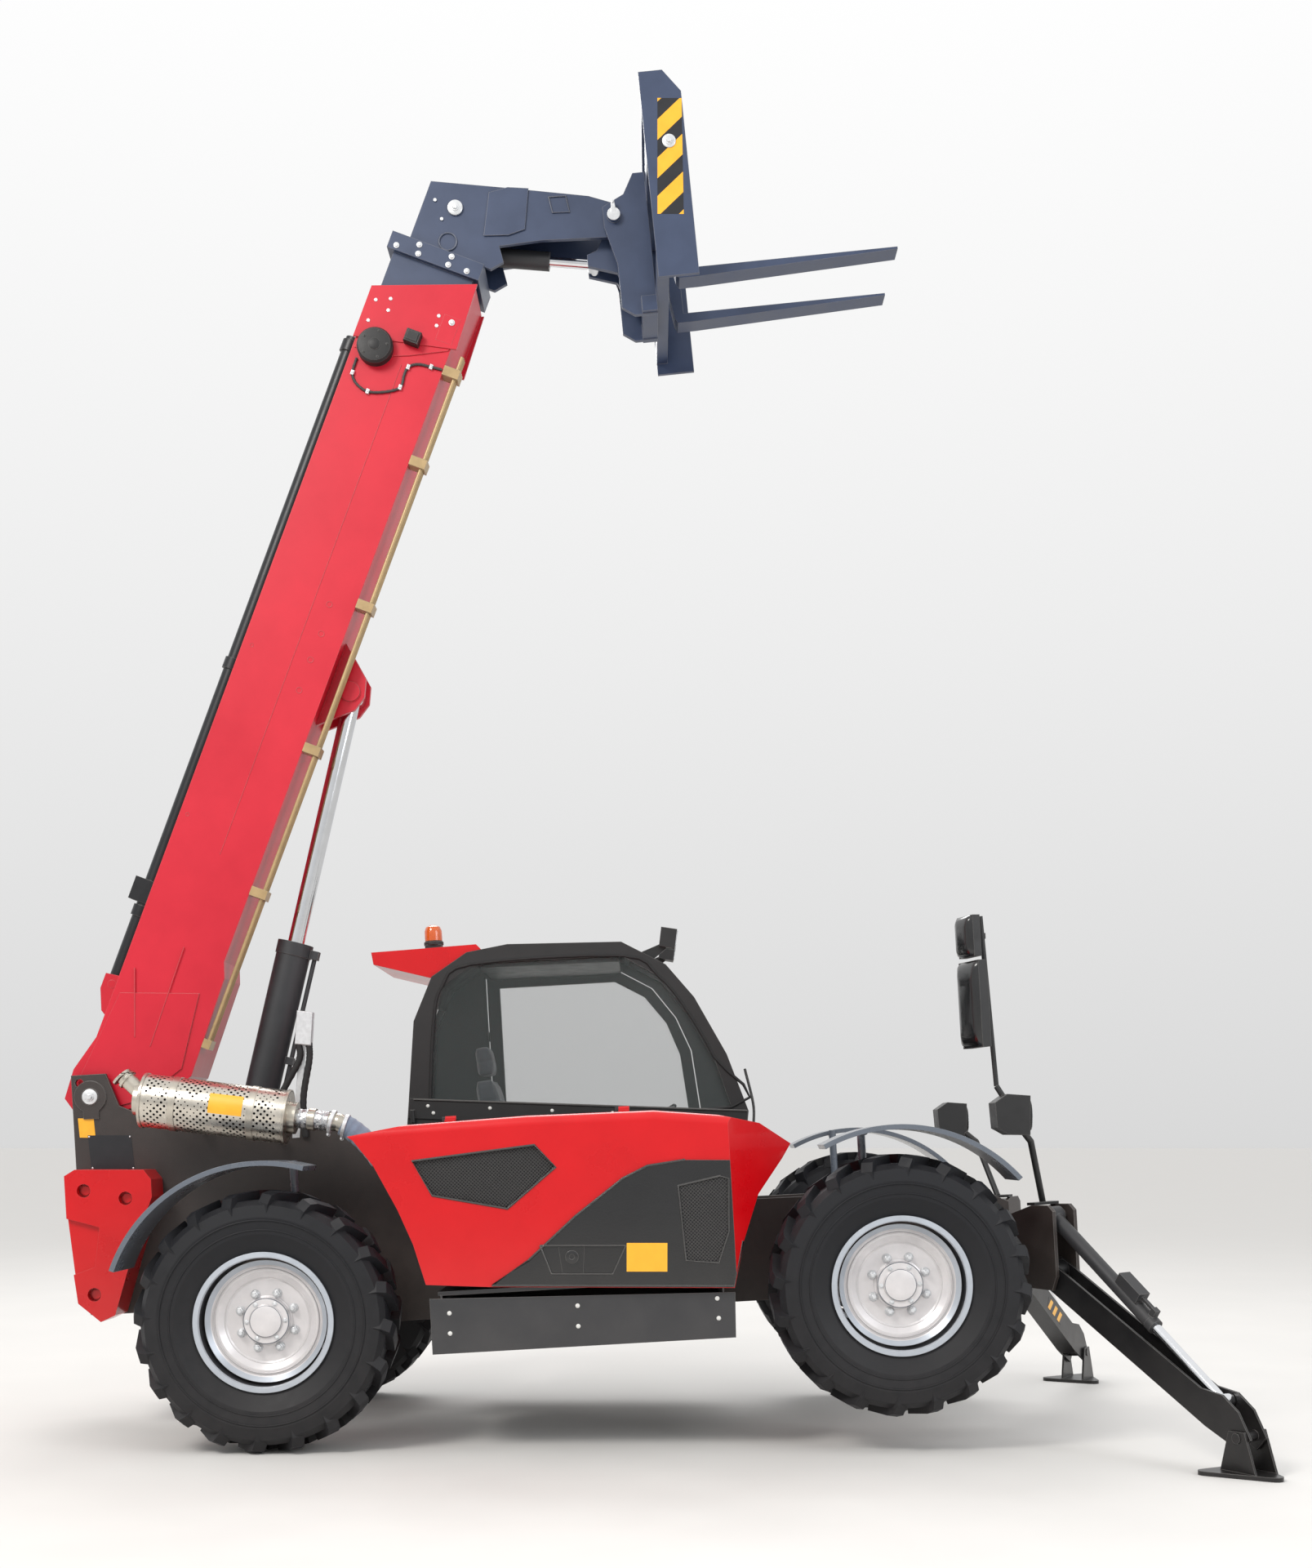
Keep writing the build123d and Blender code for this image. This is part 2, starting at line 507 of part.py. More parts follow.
with BuildPart() as hood_panel:
    slab([(HOOD_END - 63, 1252), (HOOD_END - 187, 1090), (HOOD_END - 273, 879), (HOOD_END - 331, 668), (1090, 738),
          (1274, 849), (1506, 1044), (HOOD_END - 824, 1209), (HOOD_END - 704, 1262), (HOOD_END - 525, 1280)], -HOOD_OUT - PANEL_T, -HOOD_OUT)
    # a pull recess with its latch, and a second vent
    slab(HANDLE, -HOOD_OUT - PANEL_T - 1, -HOOD_OUT + 1, Mode.SUBTRACT)
    slab([(LATCH[0] - 62, 905), (LATCH[0] + 62, 899), (LATCH[0] + 50, 770), (LATCH[0] - 50, 774)], -HOOD_OUT - 3, -HOOD_OUT)
    pin(*LATCH, 30, -HOOD_OUT - PANEL_T - 5, -HOOD_OUT)
    slab(SIDE_VENT, -HOOD_OUT - PANEL_T - 1, -HOOD_OUT + 1, Mode.SUBTRACT)
    grille(SIDE_VENT, -HOOD_OUT - VENT_T, -HOOD_OUT)
    with BuildSketch(Plane.XY.offset(600)) as taper:
        with BuildLine():
            Polyline((NOSE[0], -HOOD_OUT - 20), (NOSE[0], -HOOD_OUT), (NOSE[1], -NOSE[2]),
                     (NOSE[1] + 60, -HOOD_OUT - 20), close=True)
        make_face()
    extrude(taper.sketch, amount=1000, mode=Mode.SUBTRACT)
hood_panel.part.label = "hood_panel"
made["hood_panel"] = hood_panel

# ================================================================ lamps and mirrors
def roof_z(x):
    """Height of the roof's front slope."""
    (x0, z0), (x1, z1) = CAB[8], CAB[9]
    return z0 + (x - x0) * (z1 - z0) / (x1 - x0)


def visor_z(x):
    """Height of the visor's top."""
    (x0, z0), (x1, z1) = VISOR[0], VISOR[-1]
    return z0 + (x - x0) * (z1 - z0) / (x1 - x0)


BEACON = (740.0, 420.0)
LAMP_Y = 930.0
with BuildPart() as lamps_mirrors:
    for side in (-1, 1):
        leg_slab(side, [(-90, 330), (-30, 330), (-30, 344), (-90, 344)], -FORK_IN - FORK_PLATE, FORK_IN + FORK_PLATE)
        rod((LEG_X - 30, side * 628, 960), (LEG_X - 105, side * 790, 1270), 16)
        rod((LEG_X - 105, side * 790, 1270), (LEG_X - 210, side * LAMP_Y, 1385), 16)
        # headlamp housing with its lens ring
        slab([(LEG_X + x, z) for x, z in ((-305, 1345), (-250, 1310), (-150, 1303), (-139, 1492), (-250, 1506), (-310, 1468))],
             side * LAMP_Y - 92, side * LAMP_Y + 92)
        rod((LEG_X - 150, side * LAMP_Y, 1397), (LEG_X - 132, side * LAMP_Y, 1396), 78)
        # work lamp over the windscreen
    for y in (CAB_IN + 80, CAB_OUT - 80):
        slab([(1880, roof_z(1880)), (1950, roof_z(1950)), (2035, 2440), (2000, 2462)], y - 12, y + 12)
        slab([(1985, 2445), (2070, 2425), (2090, 2530), (2003, 2548)], y - 62, y + 62)
    rod((LEG_X - 200, -LAMP_Y, 1400), (LEG_X - 278, -900, 1548), 14)
    rod((LEG_X - 278, -900, 1548), (LEG_X - 310, -900, 2376), 12)
    with Locations(Location((LEG_X - 367, -893, 2280), (0, 0, 20))):
        Box(40, 150, 200)
    with Locations(Location((LEG_X - 358, -893, 1950), (0, 0, 20))):
        Box(48, 190, 420)
    for z in (1830, 2070, 2280):
        box(LEG_X - 362, LEG_X - 290, -906, -894, z - 14, z + 14)
    # beacon on the visor
    slab([(BEACON[0] - 45, visor_z(BEACON[0] - 45)), (BEACON[0] + 45, visor_z(BEACON[0] + 45)), (BEACON[0] + 45, 2532),
          (BEACON[0] - 45, 2532)], BEACON[1] - 45, BEACON[1] + 45)
    with BuildSketch(Plane(origin=(*BEACON, 2532), x_dir=(1, 0, 0), z_dir=(0, -1, 0))) as dome:
        with BuildLine():
            Polyline((0, 0), (54, 0), (54, 16), (47, 22), (47, 78), (38, 100), (18, 110), (0, 110), close=True)
        make_face()
    revolve(dome.sketch, axis=Axis((*BEACON, 2532), (0, 0, 1)), revolution_arc=360)
lamps_mirrors.part.label = "lamps_mirrors"
made["lamps_mirrors"] = lamps_mirrors

# ================================================================ wheels
def tyre_profile():
    half, tread = TYRE_W / 2, TYRE_R - LUG_H
    return [(-148, BEAD_R), (148, BEAD_R), (148, RIM_FLANGE_R + 2), (half - 12, 420), (half - 2, 500),
            (half - 12, tread - 32), (half - 46, tread - 6), (-half + 46, tread - 6), (-half + 12, tread - 32),
            (-half + 2, 500), (-half + 12, 420), (-148, RIM_FLANGE_R + 2)]


def crown(a):
    """Height at which a lug's edge meets the tyre's outer circle, a along the lug."""
    off = a * sin(radians(LUG_SKEW)) + LUG_W / 2 * cos(radians(LUG_SKEW))
    return (TYRE_R ** 2 - off ** 2) ** 0.5


def lug_profile():
    """One lug along its own line: its length from the centre, and its height from the axle."""
    tip = (TYRE_W / 2 - LUG_W / 2 * sin(radians(LUG_SKEW))) / cos(radians(LUG_SKEW))
    return [(10, TYRE_R - LUG_H - 40), (10, crown(10)), (0.72 * tip, crown(0.72 * tip)), (0.92 * tip, crown(tip) - 10),
            (tip - 2, crown(tip) - 55), (tip - 8, TYRE_R - 130), (0.8 * tip, TYRE_R - 130)]


def lug_planes():
    """Where the lugs stand round the tyre: two rows that point forward and interleave."""
    skew = radians(LUG_SKEW)
    corner = degrees(atan2(10 * sin(skew) + LUG_W / 2 * cos(skew), crown(10)))
    planes = []
    for row in (0, 1):
        for k in range(LUGS):
            a = radians(-90 - PITCH - corner + (k + row / 2) * 360 / LUGS)
            radial, around = Vector(cos(a), 0, sin(a)), Vector(-sin(a), 0, cos(a))
            across = Vector(0, 1 - 2 * row, 0) * cos(skew) + around * sin(skew)
            planes.append(Plane(origin=(0, 0, 0), x_dir=across, z_dir=across.cross(radial)))
    return planes


def rim_profile():
    inner = BEAD_R - RIM_T
    return [(-162, RIM_FLANGE_R), (-149, RIM_FLANGE_R), (-149, BEAD_R - FIT), (149, BEAD_R - FIT), (149, RIM_FLANGE_R),
            (162, RIM_FLANGE_R), (162, inner + 18), (140, inner + 18 - RIM_T / 2), (134, inner), (-134, inner),
            (-140, inner + 18 - RIM_T / 2), (-162, inner + 18)]


def turned(x, y, z, points):
    """A ring about a wheel's axle from points of width and radius."""
    with BuildSketch(Plane(origin=(x, y, z), x_dir=(0, 1, 0), z_dir=(1, 0, 0))) as profile:
        with BuildLine():
            Polyline(*points, close=True)
        make_face()
    revolve(profile.sketch, axis=Axis((x, y, z), (0, 1, 0)), revolution_arc=360)


with BuildPart() as lugged:
    turned(0, 0, 0, tyre_profile())
    with BuildSketch(*lug_planes()) as lug:
        with BuildLine():
            Polyline(*lug_profile(), close=True)
        make_face()
    extrude(lug.sketch, amount=LUG_W / 2, both=True)

CORNERS = {"front_left": (WHEEL_BASE, 1), "front_right": (WHEEL_BASE, -1), "rear_left": (0.0, 1), "rear_right": (0.0, -1)}
FENDERS = {WHEEL_BASE: (39.0, 116.0), 0.0: (72.0, 158.0)}

for corner, (cx, side) in CORNERS.items():
    with BuildPart() as tyre:
        add(lugged.part.moved(Location((cx, side * TYRE_Y, TYRE_R))))
    tyre.part.label = "tyre_" + corner
    made["tyre_" + corner] = tyre

    with BuildPart() as rim:
        turned(cx, side * TYRE_Y, TYRE_R, rim_profile())
        disc = HUB_Y - TYRE_Y
        centre = HUB_CAP_R + 1
        turned(cx, side * TYRE_Y, TYRE_R, [(side * disc, centre), (side * (disc + 16), centre), (side * (disc + 16), 196),
                                           (side * (disc + 44), 236), (side * (disc + 44), 262),
                                           (side * (disc + 66), BEAD_R - RIM_T + 1), (side * (disc + 48), BEAD_R - RIM_T + 1),
                                           (side * (disc + 28), 266), (side * (disc + 28), 243), (side * disc, 203)])
    rim.part.label = "rim_" + corner
    made["rim_" + corner] = rim

    with BuildPart() as knuckle:
        rod((cx, side * 655, TYRE_R), (cx, side * (HUB_Y - 40), TYRE_R), 88)
        rod((cx, side * (HUB_Y - 40), TYRE_R), (cx, side * HUB_Y, TYRE_R), 165)
        rod((cx, side * HUB_Y, TYRE_R), (cx, side * (HUB_Y + 62), TYRE_R), HUB_CAP_R)
        rod((cx, side * (HUB_Y + 62), TYRE_R), (cx, side * (HUB_Y + 74), TYRE_R), HUB_CAP_R - 34)
        with Locations((cx, side * KINGPIN_Y, TYRE_R)):
            Cylinder(75, 256)
            Cylinder(KINGPIN_R, 330)
        a0, a1 = FENDERS[cx]
        with BuildSketch(Plane.XZ.offset(-side * TYRE_Y)) as strip:
            with BuildLine():
                inner = CenterArc((cx, TYRE_R), FENDER_R, a0, a1 - a0)
                outer = CenterArc((cx, TYRE_R), FENDER_R + FENDER_T, a0, a1 - a0)
                Line(inner @ 0, outer @ 0)
                Line(inner @ 1, outer @ 1)
            make_face()
        extrude(strip.sketch, amount=FENDER_W / 2, both=True)
        post = cx + (POST_X if cx == 0 else -POST_X)
        rod((cx, side * POST_Y, TYRE_R + 50), (post, side * POST_Y, TYRE_R + 50), 24)
        rod((post, side * POST_Y, TYRE_R + 50), (post, side * POST_Y, TYRE_R + FENDER_R + 16), 20)
        rod((post, side * POST_Y, TYRE_R + FENDER_R - 4), (post, side * (TYRE_Y - 60), TYRE_R + FENDER_R - 4), 16)
    knuckle.part.label = "knuckle_" + corner
    made["knuckle_" + corner] = knuckle

# ================================================================ boom
MID_HALF = BOOM_HALF - BOOM_WALL - NEST_GAP
MID_TOP = BOOM_TOP - BOOM_WALL - NEST_GAP
MID_BOTTOM = BOOM_BOTTOM + BOOM_WALL + NEST_GAP
MID_WALL = 8.0
IN_HALF = MID_HALF - MID_WALL - NEST_GAP
IN_TOP = MID_TOP - MID_WALL - NEST_GAP
IN_BOTTOM = MID_BOTTOM + MID_WALL + NEST_GAP
PAD_GAP = 0.5
HEAD_S = 4800.0
ARM_IN, ARM_OUT = 115.0, 140.0


def tube(s0, s1, half, bottom, top, wall):
    box(s0, s1, -half, half, bottom, top)
    box(s0 - 1, s1 + 1, -half + wall, half - wall, bottom + wall, top - wall, Mode.SUBTRACT)


def pads(s0, s1, half, bottom, top):
    """Wear pads in the space round a nested section, fixed to the section outside it."""
    h, b, t = half, bottom, top
    box(s0, s1, -h + 60, h - 60, t + PAD_GAP, t + NEST_GAP)
    box(s0, s1, -h + 60, h - 60, b - NEST_GAP, b - PAD_GAP)
    box(s0, s1, h + PAD_GAP, h + NEST_GAP, b + 80, t - 80)
    box(s0, s1, -h - NEST_GAP, -h - PAD_GAP, b + 80, t - 80)


with BuildPart() as boom_outer:
    slab([(-95, -60), (-120, 50), (-60, 140), (100, 150), (300, BOOM_TOP), (BOOM_NOSE, BOOM_TOP),
          (BOOM_NOSE + 198, BOOM_BOTTOM), (900, BOOM_BOTTOM), (820, -425), (280, -440), (110, -330)], -BOOM_HALF, BOOM_HALF)
    box(300, BOOM_NOSE + 300, -BOOM_HALF + BOOM_WALL, BOOM_HALF - BOOM_WALL, BOOM_BOTTOM + BOOM_WALL, BOOM_TOP - BOOM_WALL,
        Mode.SUBTRACT)
    both([(BOOM_NOSE - 280, BOOM_TOP + 12), (BOOM_NOSE, BOOM_TOP + 12), (BOOM_NOSE + 198, BOOM_BOTTOM - 14),
          (BOOM_NOSE - 160, BOOM_BOTTOM - 30)], BOOM_HALF, BOOM_HALF + 12)
    pads(BOOM_NOSE - 110, BOOM_NOSE - 20, MID_HALF, MID_BOTTOM, MID_TOP)
    pin(0, 0, 88, -SIDE_Y + SIDE_GAP, SIDE_Y - SIDE_GAP)
    for y0, y1 in ((74, 99), (-99, -74)):
        slab([(2240, BOOM_BOTTOM), (2700, BOOM_BOTTOM), (2560, -555), (2469, -580), (2385, -555)], y0, y1)
    # doublers on the root, and lugs for the extension cylinder's foot
    both([(-60, -50), (-70, 60), (60, 105), (560, 60), (700, -330), (300, -380), (70, -235)], BOOM_HALF, BOOM_HALF + DOUBLER_T)
    both([(TUBE_FOOT - 190, BOOM_TOP - 5), (TUBE_FOOT + 60, BOOM_TOP - 5), (TUBE_FOOT + 45, BOOM_TOP + TUBE_RISE + 50),
          (TUBE_FOOT - 40, BOOM_TOP + TUBE_RISE + 50), (TUBE_FOOT - 150, BOOM_TOP + 60)], TUBE_R + 7, TUBE_R + 23)
    pin(TUBE_FOOT, BOOM_TOP + TUBE_RISE, 22, -TUBE_R - 24, TUBE_R + 24)
    pin(0, 0, BOOM_PIN_R + RUN, -SIDE_Y - 9, SIDE_Y + 9, Mode.SUBTRACT)
    # discs that keep the lift pin, a hose reel's cap and a lamp near the nose
    for side in (-1, 1):
        pin(*EYE, 52, *sorted((side * 99, side * 110)))
    pin(4182, -24, 92, -BOOM_HALF - 46, -BOOM_HALF)
    pin(4182, -24, 66, -BOOM_HALF - 60, -BOOM_HALF - 46)
    box(4258, 4322, -BOOM_HALF - 58, -BOOM_HALF, -232, -156)
boom_outer.part.label = "boom_outer"
made["boom_outer"] = boom_outer

TUBE_T = BOOM_TOP + TUBE_RISE
with BuildPart() as boom_services:
    # the extension cylinder along the boom's top, held by collars
    pin(TUBE_FOOT, TUBE_T, 44, -TUBE_R, TUBE_R)
    rod((TUBE_FOOT, 0, TUBE_T), (4250, 0, TUBE_T), TUBE_R)
    pin(TUBE_FOOT, TUBE_T, 22 + RUN, -TUBE_R - 1, TUBE_R + 1, Mode.SUBTRACT)
    for s in (1000, 2400, 4200):
        box(s - 30, s + 30, -68, 68, BOOM_TOP, BOOM_TOP + 34)
        rod((s - 30, 0, TUBE_T), (s + 30, 0, TUBE_T), TUBE_R + 10)
    box(1045, 1170, -52, 52, TUBE_T - 20, TUBE_T + 84)
    # three pipes along the underside in their clamps
    for y in PIPES_Y:
        rod((450, y, PIPE_T), (4300, y, PIPE_T), PIPE_R)
    box(440, 490, PIPES_Y[0] - 22, PIPES_Y[-1] + 20, PIPE_T - 20, -436)
    for s in (1300, 2100, 2900, 3700, 4200):
        box(s - 25, s + 25, PIPES_Y[0] - 22, PIPES_Y[-1] + 20, PIPE_T - 22, BOOM_BOTTOM)
boom_services.part.label = "boom_services"
made["boom_services"] = boom_services

with BuildPart() as boom_mid:
    tube(350, BOOM_NOSE + 310, MID_HALF, MID_BOTTOM, MID_TOP, MID_WALL)
    with BuildSketch(Plane.YZ.offset(BOOM_NOSE + 220)) as collar:
        with Locations((0, (BOOM_TOP + BOOM_BOTTOM) / 2)):
            Rectangle(2 * BOOM_HALF + 10, BOOM_TOP - BOOM_BOTTOM + 20)
        with Locations((0, (MID_TOP + MID_BOTTOM) / 2)):
            Rectangle(2 * MID_HALF - 2, MID_TOP - MID_BOTTOM - 2, mode=Mode.SUBTRACT)
    extrude(collar.sketch, amount=90)
    pads(BOOM_NOSE + 180, BOOM_NOSE + 300, IN_HALF, IN_BOTTOM, IN_TOP)
    # the rear pads ride inside the outer box
    with BuildSketch(Plane.YZ.offset(355)) as rear_pads:
        with Locations((0, (MID_TOP + MID_BOTTOM) / 2)):
            Rectangle(2 * (MID_HALF + NEST_GAP - PAD_GAP), MID_TOP - MID_BOTTOM + 2 * (NEST_GAP - PAD_GAP))
            Rectangle(2 * MID_HALF - 2, MID_TOP - MID_BOTTOM - 2, mode=Mode.SUBTRACT)
    extrude(rear_pads.sketch, amount=90)
boom_mid.part.label = "boom_mid"
made["boom_mid"] = boom_mid

ARM = [(HEAD_S, 25), (5125, 25), (5230, -361), (5339, -778), (5352, -940), (5325, -1010), (5270, -1032), (5210, -1010),
       (5172, -950), (5035, -627), (4930, -430), (4860, -480), (HEAD_S, -430)]
with BuildPart() as boom_inner:
    tube(400, HEAD_S, IN_HALF, IN_BOTTOM, IN_TOP, 8)
    with BuildSketch(Plane.YZ.offset(410)) as rear_pads:
        with Locations((0, (IN_TOP + IN_BOTTOM) / 2)):
            Rectangle(2 * (IN_HALF + NEST_GAP - PAD_GAP), IN_TOP - IN_BOTTOM + 2 * (NEST_GAP - PAD_GAP))
            Rectangle(2 * IN_HALF - 2, IN_TOP - IN_BOTTOM - 2, mode=Mode.SUBTRACT)
    extrude(rear_pads.sketch, amount=100)
    box(HEAD_S - 10, HEAD_S, -IN_HALF, IN_HALF, IN_BOTTOM, IN_TOP)
    both(ARM, ARM_IN, ARM_OUT)
    slab([(5125, 25), (5230, -361), (5323, -716), (5306, -716), (5214, -361), (5109, 10), (HEAD_S, 10), (HEAD_S, 25)],
         -ARM_IN, ARM_IN)
    pin(*HEAD_PIN, HEAD_PIN_R, -176, 176)
    pin(*TILT_BASE, 25, -ARM_IN - 2, ARM_IN + 2)
boom_inner.part.label = "boom_inner"
made["boom_inner"] = boom_inner

# ================================================================ cylinders
def cylinder_angle(a, b):
    return degrees(atan2(b[1] - a[1], b[0] - a[0]))


EYE_AT = boom_point(*EYE)
LIFT_L = hypot(EYE_AT[0] - LIFT_PIN[0], EYE_AT[1] - LIFT_PIN[1])
LIFT_A = cylinder_angle(LIFT_PIN, EYE_AT)
BARREL_R = 90.0
LIFT_BARREL_L = 1500.0
LIFT_ROD_R = 45.0

# along its own axis from the base pin, then turned into place
with BuildPart() as lift_barrel:
    rod((60, 0, 0), (LIFT_BARREL_L, 0, 0), BARREL_R)
    rod((LIFT_BARREL_L - 70, 0, 0), (LIFT_BARREL_L, 0, 0), BARREL_R + 5)
    rod((90, 0, 0), (LIFT_BARREL_L + 1, 0, 0), LIFT_ROD_R + RUN, Mode.SUBTRACT)
    pin(0, 0, 85, -70, 70)
    box(0, 80, -70, 70, -60, 60)
    # port block, and the pipe to the rod's end
    box(150, 330, -46, 46, -BARREL_R - 52, -BARREL_R + 30)
    rod((320, 0, -BARREL_R - 26), (LIFT_BARREL_L - 40, 0, -BARREL_R - 26), 12)
    box(LIFT_BARREL_L - 66, LIFT_BARREL_L - 20, -26, 26, -BARREL_R - 46, -BARREL_R + 20)
    box(860, 900, -24, 24, -BARREL_R - 42, -BARREL_R + 20)
    pin(0, 0, LIFT_PIN_R + RUN, -80, 80, Mode.SUBTRACT)
lift_barrel.part.label = "lift_barrel"
made["lift_barrel"] = lift_barrel

with BuildPart() as lift_rod:
    rod((LIFT_L - 1700, 0, 0), (LIFT_L - 40, 0, 0), LIFT_ROD_R)
    pin(LIFT_L, 0, 60, -68, 68)
lift_rod.part.label = "lift_rod"
made["lift_rod"] = lift_rod

HEAD_AT = boom_point(*HEAD_PIN)
TILT_BASE_AT = boom_point(*TILT_BASE)
TILT_AT = (HEAD_AT[0] + TILT_ARM[0], HEAD_AT[1] + TILT_ARM[1])
TILT_L = hypot(TILT_AT[0] - TILT_BASE_AT[0], TILT_AT[1] - TILT_BASE_AT[1])
TILT_A = cylinder_angle(TILT_BASE_AT, TILT_AT)
TILT_BARREL_L = 560.0

with BuildPart() as tilt_barrel:
    rod((30, 0, 0), (TILT_BARREL_L, 0, 0), 48)
    rod((60, 0, 0), (TILT_BARREL_L + 1, 0, 0), 25 + RUN, Mode.SUBTRACT)
    pin(0, 0, 42, -50, 50)
    pin(0, 0, 25 + RUN, -60, 60, Mode.SUBTRACT)
tilt_barrel.part.label = "tilt_barrel"
made["tilt_barrel"] = tilt_barrel

with BuildPart() as tilt_rod:
    rod((TILT_L - 580, 0, 0), (TILT_L - 20, 0, 0), 25)
    pin(TILT_L, 0, 40, -42, 42)
tilt_rod.part.label = "tilt_rod"
made["tilt_rod"] = tilt_rod

# ================================================================ carriage
# level about the head pin, then leant by the forks' rise
with BuildPart() as carriage:
    for y0, y1 in ((-74, -49), (49, 74)):
        slab([(-40, 70), (40, 95), (120, 150), (150, 150), (150, -400), (60, -420), (-10, -250), (TILT_ARM[0] - 45, TILT_ARM[1] - 30),
              (TILT_ARM[0] - 45, TILT_ARM[1] + 30), (TILT_ARM[0] + 10, TILT_ARM[1] + 50), (-70, -60)], y0, y1)
    for y0, y1 in ((-175, -150), (150, 175)):
        slab([(-55, -55), (-55, 55), (60, 110), (119, 215), (180, 215), (180, -525), (60, -525), (-5, -480), (-5, -250)], y0, y1)
    box(120, 180, -175, 175, 110, 150)
    box(100, 180, -200, 200, -520, -440)
    box(150, 180, -175, 175, -440, 110)
    pin(0, 0, HEAD_PIN_R + RUN, -200, 200, Mode.SUBTRACT)
    # frame that carries the forks
    box(180, 240, -600, 600, 60, 160)
    box(180, 240, -600, 600, -480, -400)
    both([(180, -540), (385, -540), (385, 375), (300, 490), (180, 490)], 600, 620)
    box(190, 230, -600, 600, 440, 480)
    for y in (-400, 400):
        box(190, 230, y - 20, y + 20, -400, 440)
    pin(300, 131, 30, -600, 600)
carriage.part.label = "carriage"
made["carriage"] = carriage

with BuildPart() as forks:
    for y in (-FORK_Y, FORK_Y):
        slab([(270, 190), (330, 190), (335, FORK_TOP), (335 + FORK_L, FORK_TOP), (335 + FORK_L, FORK_TOP - 12),
              (400, FORK_TOP - FORK_T), (300, FORK_TOP - FORK_T), (285, FORK_TOP - 22), (270, -300)],
             y - FORK_W / 2, y + FORK_W / 2)
        pin(300, 131, 58, y - FORK_W / 2, y + FORK_W / 2)
    pin(300, 131, 30 + FIT, -600, 600, Mode.SUBTRACT)
    box(240, 240.3, -400, 400, -480, 200, Mode.SUBTRACT)
forks.part.label = "forks"
made["forks"] = forks

# ================================================================ legs
ROD_Q = (LEG_ROD[0] * cos(radians(LEG_DROP)) + LEG_ROD[1] * sin(radians(LEG_DROP)),
         -LEG_ROD[0] * sin(radians(LEG_DROP)) + LEG_ROD[1] * cos(radians(LEG_DROP)))
LEG_CYL_L = hypot(ROD_Q[0] - LEG_CYL[0], ROD_Q[1] - LEG_CYL[1])
LEG_CYL_A = cylinder_angle(LEG_CYL, ROD_Q)
FOOT_AT = (LEG_L * cos(radians(LEG_DROP)), -LEG_L * sin(radians(LEG_DROP)))
FOOT_XY = (LEG_X + FOOT_AT[0] * cos(radians(LEG_YAW)), LEG_Y + FOOT_AT[0] * sin(radians(LEG_YAW)))
FOOT_Z = LEG_Z + FOOT_AT[1]
# the foot's pin above the ground, which slopes under the leaning machine
FOOT_H = TYRE_R + FOOT_XY[0] * sin(radians(PITCH)) + (FOOT_Z - TYRE_R) * cos(radians(PITCH))


def along_leg(points):
    """Points along and above the leg, in its upright plane."""
    a = radians(-LEG_DROP)
    return [(p * cos(a) - q * sin(a), p * sin(a) + q * cos(a)) for p, q in points]


def along_cylinder(points):
    a = radians(LEG_CYL_A)
    return [(LEG_CYL[0] + p * cos(a) - q * sin(a), LEG_CYL[1] + p * sin(a) + q * cos(a)) for p, q in points]


def leg_rod_bar(side, p0, p1, radius, mode=Mode.ADD):
    base = leg_plane(side)
    (a0, b0), (a1, b1) = along_cylinder([(p0, 0), (p1, 0)])
    start, end = base.from_local_coords(Vector(a0, b0, 0)), base.from_local_coords(Vector(a1, b1, 0))
    rod(tuple(start), tuple(end), radius, mode)


